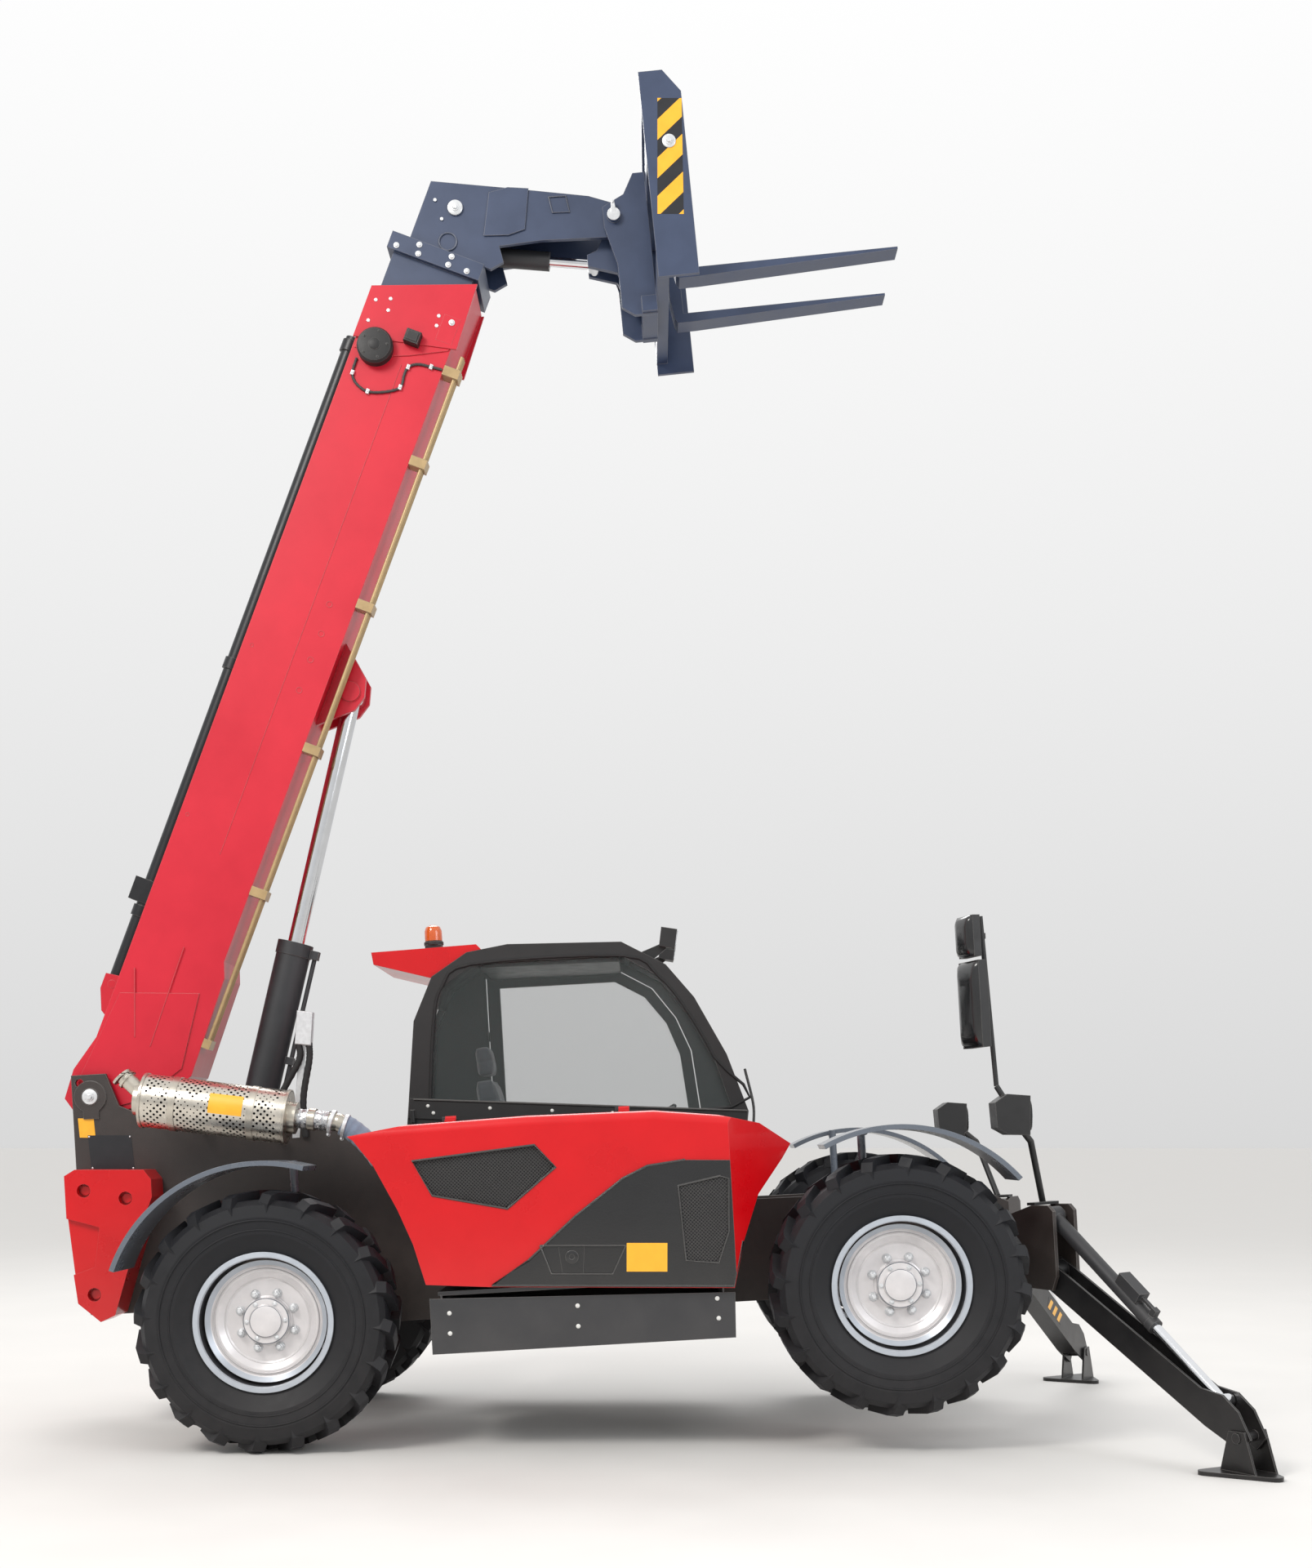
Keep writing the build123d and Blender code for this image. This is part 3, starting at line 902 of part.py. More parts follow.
for hand, side in (("left", 1), ("right", -1)):
    with BuildPart() as leg:
        for half in (LEG_HALF - 12, -LEG_HALF):
            leg_slab(side, along_leg([(-60, -40), (-40, 55), (60, 60), (1100, 70), (1220, 115), (1330, 100), (LEG_L + 60, 30),
                                      (LEG_L + 40, -50), (1200, -70), (60, -70)]), half, half + 12)
        leg_slab(side, along_leg([(100, -70), (1240, -70), (1240, -58), (100, -58)]), -LEG_HALF + 6, LEG_HALF - 6)
        leg_pin(side, (0, 0), 56, -LEG_HALF, LEG_HALF)
        leg_pin(side, (0, 0), LEG_PIN_R + RUN, -LEG_HALF - 1, LEG_HALF + 1, Mode.SUBTRACT)
        leg_pin(side, FOOT_AT, 24, -LEG_HALF - 20, LEG_HALF + 20)
    leg.part.label = "leg_" + hand
    made["leg_" + hand] = leg

    with BuildPart() as leg_barrel:
        leg_rod_bar(side, 20, 840, LEG_BARREL_R)
        leg_rod_bar(side, 800, 840, LEG_BARREL_R + 2)
        # lock valve on the barrel, and the pipe from it
        leg_slab(side, along_cylinder([(540, 28), (700, 28), (700, 84), (540, 84)]), -34, 34)
        leg_slab(side, along_cylinder([(690, 52), (800, 52), (800, 68), (690, 68)]), -9, 9)
        leg_slab(side, along_cylinder([(780, 30), (812, 30), (812, 72), (780, 72)]), -16, 16)
        leg_rod_bar(side, 50, 841, 24 + RUN, Mode.SUBTRACT)
        leg_pin(side, LEG_CYL, 46, -38, 38)
        leg_pin(side, LEG_CYL, LEG_PIN_R + RUN, -50, 50, Mode.SUBTRACT)
    leg_barrel.part.label = "leg_barrel_" + hand
    made["leg_barrel_" + hand] = leg_barrel

    with BuildPart() as leg_rod:
        leg_rod_bar(side, LEG_CYL_L - 840, LEG_CYL_L - 20, 24)
        leg_pin(side, ROD_Q, 34, -38, 38)
    leg_rod.part.label = "leg_rod_" + hand
    made["leg_rod_" + hand] = leg_rod

    with BuildPart() as foot:
        # the base lies flat on the ground, the cheeks stand in the leg's plane
        u, up = leg_plane(side).x_dir, Vector(sin(radians(PITCH)), 0, cos(radians(PITCH)))
        at = Vector(FOOT_XY[0], side * FOOT_XY[1], FOOT_Z)
        with BuildSketch(Plane(origin=at - up * FOOT_H, x_dir=u - up * u.dot(up), z_dir=up)) as base_plate:
            with BuildLine():
                Polyline((-150, -200), (240, 0), (-150, 200), close=True)
            make_face()
            fillet(base_plate.vertices(), 40)
        extrude(base_plate.sketch, amount=20)
        for half in (LEG_HALF + SIDE_GAP, -LEG_HALF - SIDE_GAP - 12):
            leg_slab(side, [(FOOT_AT[0] - 110, FOOT_AT[1] - FOOT_H + 10), (FOOT_AT[0] + 100, FOOT_AT[1] - FOOT_H + 10),
                            (FOOT_AT[0] + 45, FOOT_AT[1] + 30), (FOOT_AT[0] - 45, FOOT_AT[1] + 30)], half, half + 12)
        leg_pin(side, FOOT_AT, 24 + RUN, -200, 200, Mode.SUBTRACT)
    foot.part.label = "foot_" + hand
    made["foot_" + hand] = foot

# ================================================================ standing as parked
def lean_place(at, angle):
    """Turned about Y and set at a point: a positive angle lifts its far end."""
    return Location((at[0], 0, at[1]), (0, -angle, 0))


places = {
    "boom_outer": lean_place(BOOM_PIN, BOOM_ANGLE),
    "boom_services": lean_place(BOOM_PIN, BOOM_ANGLE),
    "boom_mid": lean_place(BOOM_PIN, BOOM_ANGLE),
    "boom_inner": lean_place(BOOM_PIN, BOOM_ANGLE),
    "lift_barrel": lean_place(LIFT_PIN, LIFT_A),
    "lift_rod": lean_place(LIFT_PIN, LIFT_A),
    "tilt_barrel": lean_place(TILT_BASE_AT, TILT_A),
    "tilt_rod": lean_place(TILT_BASE_AT, TILT_A),
    "carriage": lean_place(HEAD_AT, FORK_LEVEL),
    "forks": lean_place(HEAD_AT, FORK_LEVEL),
}
stance = Location((0, 0, TYRE_R), (0, -PITCH, 0)) * Location((0, 0, -TYRE_R))
standing = {name: stance * (places.get(name, Location()) * piece.part) for name, piece in made.items()}
boxes = [solid.bounding_box() for solid in standing.values()]
middle = (min(b.min.X for b in boxes) + max(b.max.X for b in boxes)) / 2
home = Location((-middle, 0, 0))

os.makedirs("parts", exist_ok=True)
for name, solid in standing.items():
    solid = home * solid
    solid.label = name
    export_step(solid, "parts/" + name + ".step")
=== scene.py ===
import math

import bmesh
import bpy
from mathutils import Matrix, Vector


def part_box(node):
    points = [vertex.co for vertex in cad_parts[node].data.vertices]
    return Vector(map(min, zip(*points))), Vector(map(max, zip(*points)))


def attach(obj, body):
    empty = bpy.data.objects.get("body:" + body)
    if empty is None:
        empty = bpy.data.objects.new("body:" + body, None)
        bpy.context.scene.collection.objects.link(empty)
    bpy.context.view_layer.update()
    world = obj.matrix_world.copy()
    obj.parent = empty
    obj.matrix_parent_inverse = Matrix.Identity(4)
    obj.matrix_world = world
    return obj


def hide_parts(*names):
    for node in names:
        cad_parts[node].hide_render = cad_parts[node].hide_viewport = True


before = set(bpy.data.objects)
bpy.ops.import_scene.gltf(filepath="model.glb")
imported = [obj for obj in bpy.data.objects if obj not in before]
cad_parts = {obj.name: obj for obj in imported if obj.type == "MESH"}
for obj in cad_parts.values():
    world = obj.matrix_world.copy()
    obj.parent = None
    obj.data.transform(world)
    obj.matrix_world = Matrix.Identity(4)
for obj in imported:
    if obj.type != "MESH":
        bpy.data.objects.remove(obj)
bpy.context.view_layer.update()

bl_info = {
    "name": "Telehandler",
    "version": (1, 0, 0),
    "blender": (4, 5, 0),
    "location": "View3D > Sidebar > Telehandler",
    "description": "Dresses the telehandler with its finishes, fastenings, lamps, grilles and cushions, "
                   "and sets its studio",
    "category": "Object",
}

# ---------------------------------------------------------------- places
# The machine's own millimetres: x forward from the rear axle, y to its left, z up from the ground,
# before it leans on its front legs.
LEAN = math.radians(3.27)
AXLE_Z = 625.0
REAR_LOW, REAR_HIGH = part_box("rim_rear_right")
AXLE_X = (REAR_LOW[0] + REAR_HIGH[0]) / 2
MACHINE = (Matrix.Translation((AXLE_X, 0, AXLE_Z / 1000)) @ Matrix.Rotation(-LEAN, 4, "Y")
           @ Matrix.Diagonal((0.001, 0.001, 0.001, 1)) @ Matrix.Translation((0, 0, -AXLE_Z)))


def leaning(x, z, degrees, y=0.0):
    """Frame at a point of the machine whose x axis tips up by some degrees."""
    return MACHINE @ Matrix.Translation((x, y, z)) @ Matrix.Rotation(math.radians(-degrees), 4, "Y")


BOOM = leaning(-1015, 1774, 66.4)              # x along the boom from its pin, z square to it
HEAD = leaning(1962.6, 6224.1, 2.5)            # at the carriage's pin
WHEELS = {"rear": 0.0, "front": 3030.0}
SIDES = {"left": 1, "right": -1}
# distances from the middle plane to the faces that details stand on
DISC = 1024.0                                  # wheel disc under its nuts
BOOM_SIDE = 190.0                              # side plate of the outer boom
NECK_SIDE = 144.0                              # cheek of the goose-neck
HEAD_SIDE = 620.0                              # side plate of the carriage
LEGS = {name: MACHINE @ Matrix.Translation((3850, side * 680, 620)) @ Matrix.Rotation(math.radians(side * 60), 4, "Z")
        @ Matrix.Rotation(math.radians(30.4), 4, "Y") for name, side in SIDES.items()}


def linear(code):
    """An sRGB hex colour as the linear numbers Blender works with."""
    parts = [int(code[i:i + 2], 16) / 255 for i in (1, 3, 5)]
    return tuple(p / 12.92 if p <= 0.04045 else ((p + 0.055) / 1.055) ** 2.4 for p in parts)


# ---------------------------------------------------------------- what a user may change
def colour(label, note, code):
    return bpy.props.FloatVectorProperty(name=label, description=note, subtype="COLOR", size=3, min=0, max=1,
                                         default=linear(code))


def length(label, note, value):
    return bpy.props.FloatProperty(name=label, description=note, default=value, min=0.0005, max=1.0, unit="LENGTH")


class TelehandlerColours(bpy.types.PropertyGroup):
    boom: colour("Boom", "Satin powder coat of the outer boom", "#C2122A")
    body: colour("Bodywork", "Gloss red of the hood, counterweights and visor", "#C8040F")
    chassis: colour("Chassis", "Warm dark grey of the plates", "#332D2B")
    head: colour("Head and legs", "Slate of the inner boom, carriage and forks", "#313E59")
    black: colour("Black parts", "Moulded and coated black parts", "#141517")
    rim: colour("Rims", "Silver of the rims", "#B4BBC4")
    disc: colour("Wheel discs", "Off-white of the wheel discs", "#DAD7D8")
    rubber: colour("Rubber", "Tyres", "#17181C")
    hazard: colour("Hazard stripes", "Yellow of the stripes", "#F0AE22")
    amber: colour("Amber", "Beacon and indicators", "#F0690C")


class TelehandlerSizes(bpy.types.PropertyGroup):
    nut: length("Wheel nut", "Across the flats of a wheel nut", 0.032)
    rivet: length("Rivet", "Radius of a panel rivet's head", 0.011)
    hole: length("Guard hole", "Radius of a hole in the exhaust guard", 0.0066)
    pitch: length("Guard pitch", "Half the spacing of the guard's staggered holes", 0.0165)
    mesh: length("Grille mesh", "Spacing of the fine mesh behind the grilles", 0.012)
    stripe: length("Stripe", "Width of a hazard stripe", 0.075)
    soft: length("Edge", "Radius that softens painted edges", 0.004)


# ---------------------------------------------------------------- finishes
def add(tree, kind, inputs=None, **settings):
    """Adds one node with its settings; an input is a value or the socket it is linked from."""
    made = tree.nodes.new(kind)
    for key, value in settings.items():
        setattr(made, key, value)
    for key, value in (inputs or {}).items():
        if isinstance(value, bpy.types.NodeSocket):
            tree.links.new(value, made.inputs[key])
        else:
            made.inputs[key].default_value = value
    return made


def per_metre(millimetres):
    """Texture scale whose features are that many millimetres across."""
    return 1000.0 / millimetres


def rgba(value):
    return (*value, 1.0)


def surface(name, base, rough, metal=0.0, mottle=0.12, patch=220, grain=2.5, relief=0.15, dust=0.0, edge=0.0, soft=True,
            zones=None, **shader):
    """A node material: cloudy colour and roughness, fine relief, dust low down and on top, and softened edges that are
    lightened, partly as wear and partly as painted highlight.
    patch and grain are the sizes in millimetres of the clouds and of the relief; zones recolours parts of the piece."""
    material = bpy.data.materials.new(name)
    material.use_nodes = True
    tree = material.node_tree
    tree.nodes.clear()
    place = add(tree, "ShaderNodeTexCoord").outputs["Object"]
    cloud = add(tree, "ShaderNodeTexNoise", {"Vector": place, "Scale": per_metre(patch), "Detail": 5.0,
                                             "Roughness": 0.6})
    fine = add(tree, "ShaderNodeTexNoise", {"Vector": place, "Scale": per_metre(grain), "Detail": 3.0})
    tone = add(tree, "ShaderNodeMapRange", {"Value": cloud.outputs["Fac"], "From Min": 0.3, "From Max": 0.7,
                                            "To Min": 1 - mottle, "To Max": 1 + mottle}).outputs["Result"]
    hue = zones(tree, place) if zones else None
    if hue is None:
        hue = add(tree, "ShaderNodeRGB").outputs[0]
        hue.default_value = rgba(base)
    hue = add(tree, "ShaderNodeMix", {"Factor": 1.0, 6: hue, 7: tone}, data_type="RGBA",
              blend_type="MULTIPLY").outputs[2]
    geometry = add(tree, "ShaderNodeNewGeometry")
    round_off = add(tree, "ShaderNodeBevel", {"Radius": bpy.context.scene.telehandler_sizes.soft},
                    samples=4) if soft else None
    # edges lightened toward pale grey: partly wear, partly painted highlight
    if round_off and edge:
        turn = add(tree, "ShaderNodeVectorMath", {0: round_off.outputs[0], 1: geometry.outputs["Normal"]},
                   operation="DOT_PRODUCT")
        wear_and_highlight = add(tree, "ShaderNodeMapRange", {"Value": turn.outputs["Value"], "From Min": 0.995, "From Max": 0.93,
                                                "To Min": 0.0, "To Max": edge}).outputs["Result"]
        hue = add(tree, "ShaderNodeMix", {"Factor": wear_and_highlight, 6: hue, 7: rgba(linear("#A9A6A2"))},
                  data_type="RGBA").outputs[2]
    if dust:
        upright = add(tree, "ShaderNodeSeparateXYZ", {0: geometry.outputs["Normal"]}).outputs["Z"]
        height = add(tree, "ShaderNodeSeparateXYZ", {0: place}).outputs["Z"]
        on_top = add(tree, "ShaderNodeMapRange", {"Value": upright, "From Min": 0.35, "From Max": 1.0,
                                                  "To Max": 0.45}).outputs[0]
        low_down = add(tree, "ShaderNodeMapRange", {"Value": height, "From Min": 1.15, "From Max": 0.15,
                                                    "To Max": 0.8}).outputs[0]
        film = add(tree, "ShaderNodeMath", {0: on_top, 1: low_down}, operation="MAXIMUM").outputs[0]
        film = add(tree, "ShaderNodeMath", {0: film, 1: cloud.outputs["Fac"]}, operation="MULTIPLY").outputs[0]
        film = add(tree, "ShaderNodeMath", {0: film, 1: dust * 1.6}, operation="MULTIPLY", use_clamp=True).outputs[0]
        hue = add(tree, "ShaderNodeMix", {"Factor": film, 6: hue, 7: rgba(linear("#8C8074"))},
                  data_type="RGBA").outputs[2]
    shine = add(tree, "ShaderNodeMapRange", {"Value": cloud.outputs["Fac"], "From Min": 0.3, "From Max": 0.7,
                                             "To Min": max(0.02, rough * 0.85),
                                             "To Max": min(1.0, rough * 1.15)}).outputs["Result"]
    facing = {"Height": fine.outputs["Fac"], "Strength": relief, "Distance": grain / 1000}
    if round_off:
        facing["Normal"] = round_off.outputs[0]
    bump = add(tree, "ShaderNodeBump", facing)
    shader = {key.replace("_", " ").title().replace("Ior", "IOR"): value for key, value in shader.items()}
    body = add(tree, "ShaderNodeBsdfPrincipled", {"Base Color": hue, "Roughness": shine, "Metallic": metal,
                                                  "Normal": bump.outputs[0], **shader})
    add(tree, "ShaderNodeOutputMaterial", {"Surface": body.outputs[0]})
    return material


def rings(tree, place, x, bands, fallback):
    """Recolours a wheel by distance from the axle at x; bands are (radius in metres, colour), the smallest first."""
    flat = add(tree, "ShaderNodeVectorMath", {0: place, 1: (1, 0, 1)}, operation="MULTIPLY").outputs[0]
    middle = MACHINE @ Vector((x, 0, AXLE_Z))
    reach = add(tree, "ShaderNodeVectorMath", {0: flat, 1: (middle.x, 0, middle.z)},
                operation="DISTANCE").outputs["Value"]
    hue = rgba(fallback)
    for radius, tint in reversed(bands):
        within = add(tree, "ShaderNodeMath", {0: reach, 1: radius}, operation="LESS_THAN").outputs[0]
        hue = add(tree, "ShaderNodeMix", {"Factor": within, 6: hue, 7: rgba(tint)}, data_type="RGBA").outputs[2]
    return hue


def beyond(tree, place, at, axis, limit, near, far):
    """One colour where the distance along an axis of a frame is over a limit in millimetres, another where it isn't."""
    direction = (at.to_3x3() @ Vector(axis)).normalized()
    start = at @ Vector((0, 0, 0))
    along = add(tree, "ShaderNodeVectorMath", {0: place, 1: direction}, operation="DOT_PRODUCT").outputs["Value"]
    over = add(tree, "ShaderNodeMath", {0: along, 1: start.dot(direction) + limit / 1000},
               operation="GREATER_THAN").outputs[0]
    return add(tree, "ShaderNodeMix", {"Factor": over, 6: rgba(near), 7: rgba(far)}, data_type="RGBA").outputs[2]


# x along the exhaust guard, whose far end is lower
GUARD_RUN, GUARD_DROP = 720, 127
GUARD = MACHINE @ Matrix.Translation((-640, -620, 1727)) @ Matrix.Rotation(math.atan2(GUARD_DROP, GUARD_RUN), 4, "Y")
GUARD_LENGTH = math.hypot(GUARD_RUN, GUARD_DROP)


def painted_shade_behind_holes(tree, place):
    """Painted shade: near-black where the guard's own wall lies behind its pierced sleeve, steel elsewhere."""
    start, along = GUARD @ Vector((0, 0, 0)), (GUARD.to_3x3() @ Vector((1, 0, 0))).normalized()
    off = add(tree, "ShaderNodeVectorMath", {0: place, 1: start}, operation="SUBTRACT").outputs[0]
    off = add(tree, "ShaderNodeVectorMath", {0: off, 1: along}, operation="CROSS_PRODUCT").outputs[0]
    reach = add(tree, "ShaderNodeVectorMath", {0: off}, operation="LENGTH").outputs["Value"]
    # painted shade: near-black on the wall that shows through the sleeve's holes
    wall = add(tree, "ShaderNodeMath", {0: reach, 1: 0.131, 2: 0.0017}, operation="COMPARE").outputs[0]
    return add(tree, "ShaderNodeMix", {"Factor": wall, 6: rgba(linear("#C4BEB2")), 7: rgba(linear("#121113"))},
               data_type="RGBA").outputs[2]


def finishes():
    """Every finish by name, each started from what the real one is."""
    c = bpy.context.scene.telehandler_colours
    rims = {end: (lambda tree, place, x=x: rings(tree, place, x, [(0.268, c.disc)], c.rim))
            for end, x in WHEELS.items()}
    made = {
        # polyester powder coat, satin: even colour, broad soft highlights, faint clouds from weather
        "boom": surface("crimson satin powder coat", c.boom, 0.38, mottle=0.07, patch=420, relief=0.05, dust=0.10,
                        edge=0.25, coat_weight=0.12, coat_roughness=0.25, specular_ior_level=0.4),
        # gloss two-pack enamel on pressed sheet and castings: wet highlights that show slight waviness
        "body": surface("red gloss enamel", c.body, 0.3, mottle=0.05, patch=300, grain=14, relief=0.03, dust=0.12,
                        edge=0.12, coat_weight=0.35, coat_roughness=0.06, specular_ior_level=0.28),
        # chassis enamel over hot rolled plate: uneven scale under the paint, dust low down
        "chassis": surface("warm dark chassis enamel", c.chassis, 0.46, mottle=0.16, patch=130, grain=5, relief=0.12,
                           dust=0.15, edge=0.45),
        # satin slate enamel on folded plate
        "head": surface("slate satin enamel", c.head, 0.4, mottle=0.1, patch=170, grain=4, relief=0.08, dust=0.12,
                        edge=0.45, coat_weight=0.2, coat_roughness=0.3),
        # moulded ABS, gloss black, its edges lightened as painted highlight and light wear
        "moulding": surface("gloss black moulded plastic", c.black, 0.2, mottle=0.1, patch=160, grain=9, relief=0.04,
                            dust=0.12, edge=0.3, coat_weight=0.4, coat_roughness=0.1),
        # satin black enamel on bent sheet
        "skirt": surface("satin black sheet enamel", linear("#26282C"), 0.34, mottle=0.1, patch=200, grain=5,
                         relief=0.05, dust=0.12, edge=0.4, coat_weight=0.3, coat_roughness=0.2),
        # textured black powder coat on the cab's tubes and the lamps
        "coat": surface("textured black powder coat", linear("#1B1B1C"), 0.5, mottle=0.15, patch=90, grain=1.8,
                        relief=0.22, dust=0.1, edge=0.3),
        # black enamel of the folding legs, glossy on top, its edges lightened by scuffs and by painted highlight
        "leg": surface("black leg enamel", linear("#131417"), 0.36, mottle=0.12, patch=140, grain=4, relief=0.07,
                       dust=0.06, edge=0.35, coat_weight=0.15, coat_roughness=0.2, specular_ior_level=0.35),
        # polypropylene fenders: grey, semi-gloss, scuffed, with edges lightened partly as painted highlight
        "fender": surface("grey moulded polypropylene", linear("#5C636D"), 0.28, mottle=0.06, patch=260, grain=6,
                          relief=0.05, dust=0.07, edge=0.2, coat_weight=0.3, coat_roughness=0.2),
        # black cylinder enamel, matt
        "cylinder": surface("matt black cylinder enamel", linear("#2B2C2F"), 0.5, mottle=0.12, patch=120, grain=3,
                            relief=0.1, dust=0.1, edge=0.35),
        # hard chrome plate: mirror-bright with a faint oil film
        "chrome": surface("hard chrome plate", linear("#DDDFE2"), 0.12, metal=1.0, mottle=0.04, patch=90, grain=2,
                          relief=0.01, soft=False),
        # brushed stainless sheet, slightly tarnished by heat, and near-black in painted shade where its wall lies
        # behind the pierced sleeve
        "stainless": surface("brushed stainless steel", linear("#C4BEB2"), 0.3, metal=1.0, mottle=0.12, patch=70,
                             grain=1.6, relief=0.12, edge=0.15, zones=painted_shade_behind_holes),
        # the guard's pierced sleeve: thinner sheet of the same steel, brighter where it stands clear of the heat
        "sheet": surface("pierced stainless sheet", linear("#CFC9BE"), 0.27, metal=1.0, mottle=0.1, patch=60, grain=1.6,
                         relief=0.1, soft=False),
        # silver wheel paint with off-white discs
        "rim rear": surface("silver wheel enamel, rear", c.rim, 0.34, metal=0.35, mottle=0.08, patch=90, grain=4,
                            relief=0.05, dust=0.18, edge=0.3, zones=rims["rear"], coat_weight=0.3, coat_roughness=0.2),
        "rim front": surface("silver wheel enamel, front", c.rim, 0.34, metal=0.35, mottle=0.08, patch=90, grain=4,
                             relief=0.05, dust=0.18, edge=0.3, zones=rims["front"], coat_weight=0.3,
                             coat_roughness=0.2),
        # vulcanised carbon-black rubber: dull, faintly blue where it catches the sky, dusty in the treads
        "tyre": surface("black vulcanised rubber", c.rubber, 0.55, mottle=0.16, patch=60, grain=2.2, relief=0.2,
                        dust=0.05, ior=1.52, specular_ior_level=0.3, sheen_weight=0.03, sheen_roughness=0.4,
                        sheen_tint=rgba(linear("#9BA6C4"))),
        # laminated grey-tinted glass
        "glass": surface("grey tinted cab glass", linear("#66706F"), 0.03, mottle=0.02, relief=0.0, soft=False,
                         ior=1.52, alpha=0.13, coat_weight=0.5, coat_roughness=0.02),
        # cast iron and painted steel of the plain engine
        "engine": surface("engine grey enamel", linear("#4B4E50"), 0.55, mottle=0.2, patch=80, grain=3, relief=0.3,
                          dust=0.2),
        # bright zinc plate on bolts, nuts and rivets
        "zinc": surface("bright zinc plate", linear("#D6D8DA"), 0.36, metal=0.55, mottle=0.08, patch=20, grain=1.2,
                        relief=0.08),
        # moulded amber polycarbonate
        "amber": surface("amber polycarbonate", c.amber, 0.1, mottle=0.06, patch=15, grain=6, relief=0.15, ior=1.58,
                         soft=False, transmission_weight=0.35, coat_weight=0.6, coat_roughness=0.05),
        # clear prismatic lens over a bright reflector, drawn as one pale ribbed plate
        "lens": surface("clear prismatic lens", linear("#D9DEE2"), 0.08, metal=0.5, mottle=0.2, patch=9, grain=7,
                        relief=0.5, soft=False, coat_weight=1.0, coat_roughness=0.03),
        # silvered mirror glass
        "mirror": surface("silvered mirror glass", linear("#E4E7EA"), 0.03, metal=1.0, mottle=0.02, relief=0.0,
                          soft=False),
        # EPDM rubber seals and hose covers
        "seal": surface("black rubber seal", linear("#1A1A1B"), 0.7, mottle=0.15, patch=30, grain=1.2, relief=0.25),
        # reflective vinyl, yellow, blank
        "vinyl": surface("yellow vinyl film", c.hazard, 0.36, mottle=0.05, patch=60, grain=1.0, relief=0.06, dust=0.06,
                         soft=False, coat_weight=0.3, coat_roughness=0.15),
        "dark vinyl": surface("black vinyl film", linear("#1C1D22"), 0.36, mottle=0.08, patch=60, grain=1.0,
                              relief=0.06, soft=False),
        "white": surface("white nylon", linear("#D8D8D4"), 0.4, mottle=0.06, patch=20, grain=1.0, relief=0.05),
        # woven seat cloth over foam: a 6 mm rib, coarser than the real thread so that it shows
        "cloth": surface("grey woven seat cloth", linear("#3A3C42"), 0.85, mottle=0.2, patch=40, grain=6, relief=0.5,
                         soft=False, sheen_weight=0.4, sheen_roughness=0.5),
        # crumpled aluminium foil lagging
        "foil": surface("crumpled aluminium foil", linear("#BFC0C2"), 0.28, metal=1.0, mottle=0.15, patch=25, grain=26,
                        relief=0.45, soft=False),
        # silicone-coated glass cloth sleeve
        "sleeve": surface("blue-grey glass cloth sleeve", linear("#6E7B8E"), 0.7, mottle=0.15, patch=40, grain=5,
                          relief=0.5, soft=False, sheen_weight=0.3, sheen_roughness=0.5),
        # painted shade: a near-black sheet behind the grille meshes, where the hood's inside lies in shade
        "painted_shade": surface("painted shade behind grilles", linear("#17161A"), 0.8, mottle=0.1, relief=0.05, soft=False),
    }
    # black enamelled cylinder with yellow-chromated pipes below it
    pipes, enamel = linear("#A88F66"), linear("#16181C")
    made["services"] = surface("cylinder enamel and chromated pipes", enamel, 0.38, metal=0.25, mottle=0.12, patch=90,
                               grain=3, relief=0.06, edge=0.3, zones=lambda tree,
                               place: beyond(tree, place, BOOM, (0, 0, 1), -380, pipes, enamel))
    return made


CAD_FINISHES = {
    "boom": ["boom_outer"],
    "body": ["hood", "counterweights", "cab_visor"],
    "chassis": ["chassis", "axles", "tank_steps"],
    "skirt": ["pod_base"],
    "head": ["boom_mid", "boom_inner", "carriage", "forks"],
    "moulding": ["hood_panel"],
    "leg": ["leg_left", "leg_right", "foot_left", "foot_right"],
    "coat": ["cab_shell", "cab_door", "lamps_mirrors"],
    "fender": ["knuckle_front_left", "knuckle_front_right", "knuckle_rear_left", "knuckle_rear_right"],
    "cylinder": ["lift_barrel", "tilt_barrel", "leg_barrel_left", "leg_barrel_right"],
    "services": ["boom_services"],
    "chrome": ["lift_rod", "tilt_rod", "leg_rod_left", "leg_rod_right"],
    "stainless": ["exhaust"],
    "rim rear": ["rim_rear_left", "rim_rear_right"],
    "rim front": ["rim_front_left", "rim_front_right"],
    "tyre": ["tyre_front_left", "tyre_front_right", "tyre_rear_left", "tyre_rear_right"],
    "glass": ["cab_glass", "door_glass"],
    "engine": ["engine_block"],
    "cloth": ["seat"],
}
FINISH = {}


# ---------------------------------------------------------------- shapes
def around(count, radius=1.0, start=0.0):
    """Points spread evenly round a circle, the first one some steps on from the first axis."""
    angles = [2 * math.pi * (k + start) / count for k in range(count)]
    return [(radius * math.cos(a), radius * math.sin(a)) for a in angles]


def rounded(wide, high, radius):
    """Outline of a rectangle with round corners, about its middle."""
    w, h = wide / 2 - radius, high / 2 - radius
    return [(x + radius * math.cos(math.radians(turn + d)), z + radius * math.sin(math.radians(turn + d)))
            for x, z, turn in ((w, h, 0), (-w, h, 90), (-w, -h, 180), (w, -h, 270)) for d in (0, 30, 60, 90)]


def trace(at, y, *points):
    """Points given in a frame's x and z, all at one y, as places in metres."""
    return [at @ Vector((x, y, z)) for x, z in points]


def out(side, low, high):
    """The y range between two distances from the middle plane, on one side of it."""
    return sorted((side * low, side * high))


def skin(bm, rows, finish=0, caps=True, closed=True):
    """Skins rows of points into a surface; each row has as many points as the next."""
    lines = [[bm.verts.new(p) for p in row] for row in rows]
    count = len(lines[0])
    for a, b in zip(lines, lines[1:]):
        for i in range(count if closed else count - 1):
            j = (i + 1) % count
            bm.faces.new((a[i], a[j], b[j], b[i])).material_index = finish
    if caps:
        bm.faces.new(list(reversed(lines[0]))).material_index = finish
        bm.faces.new(lines[-1]).material_index = finish


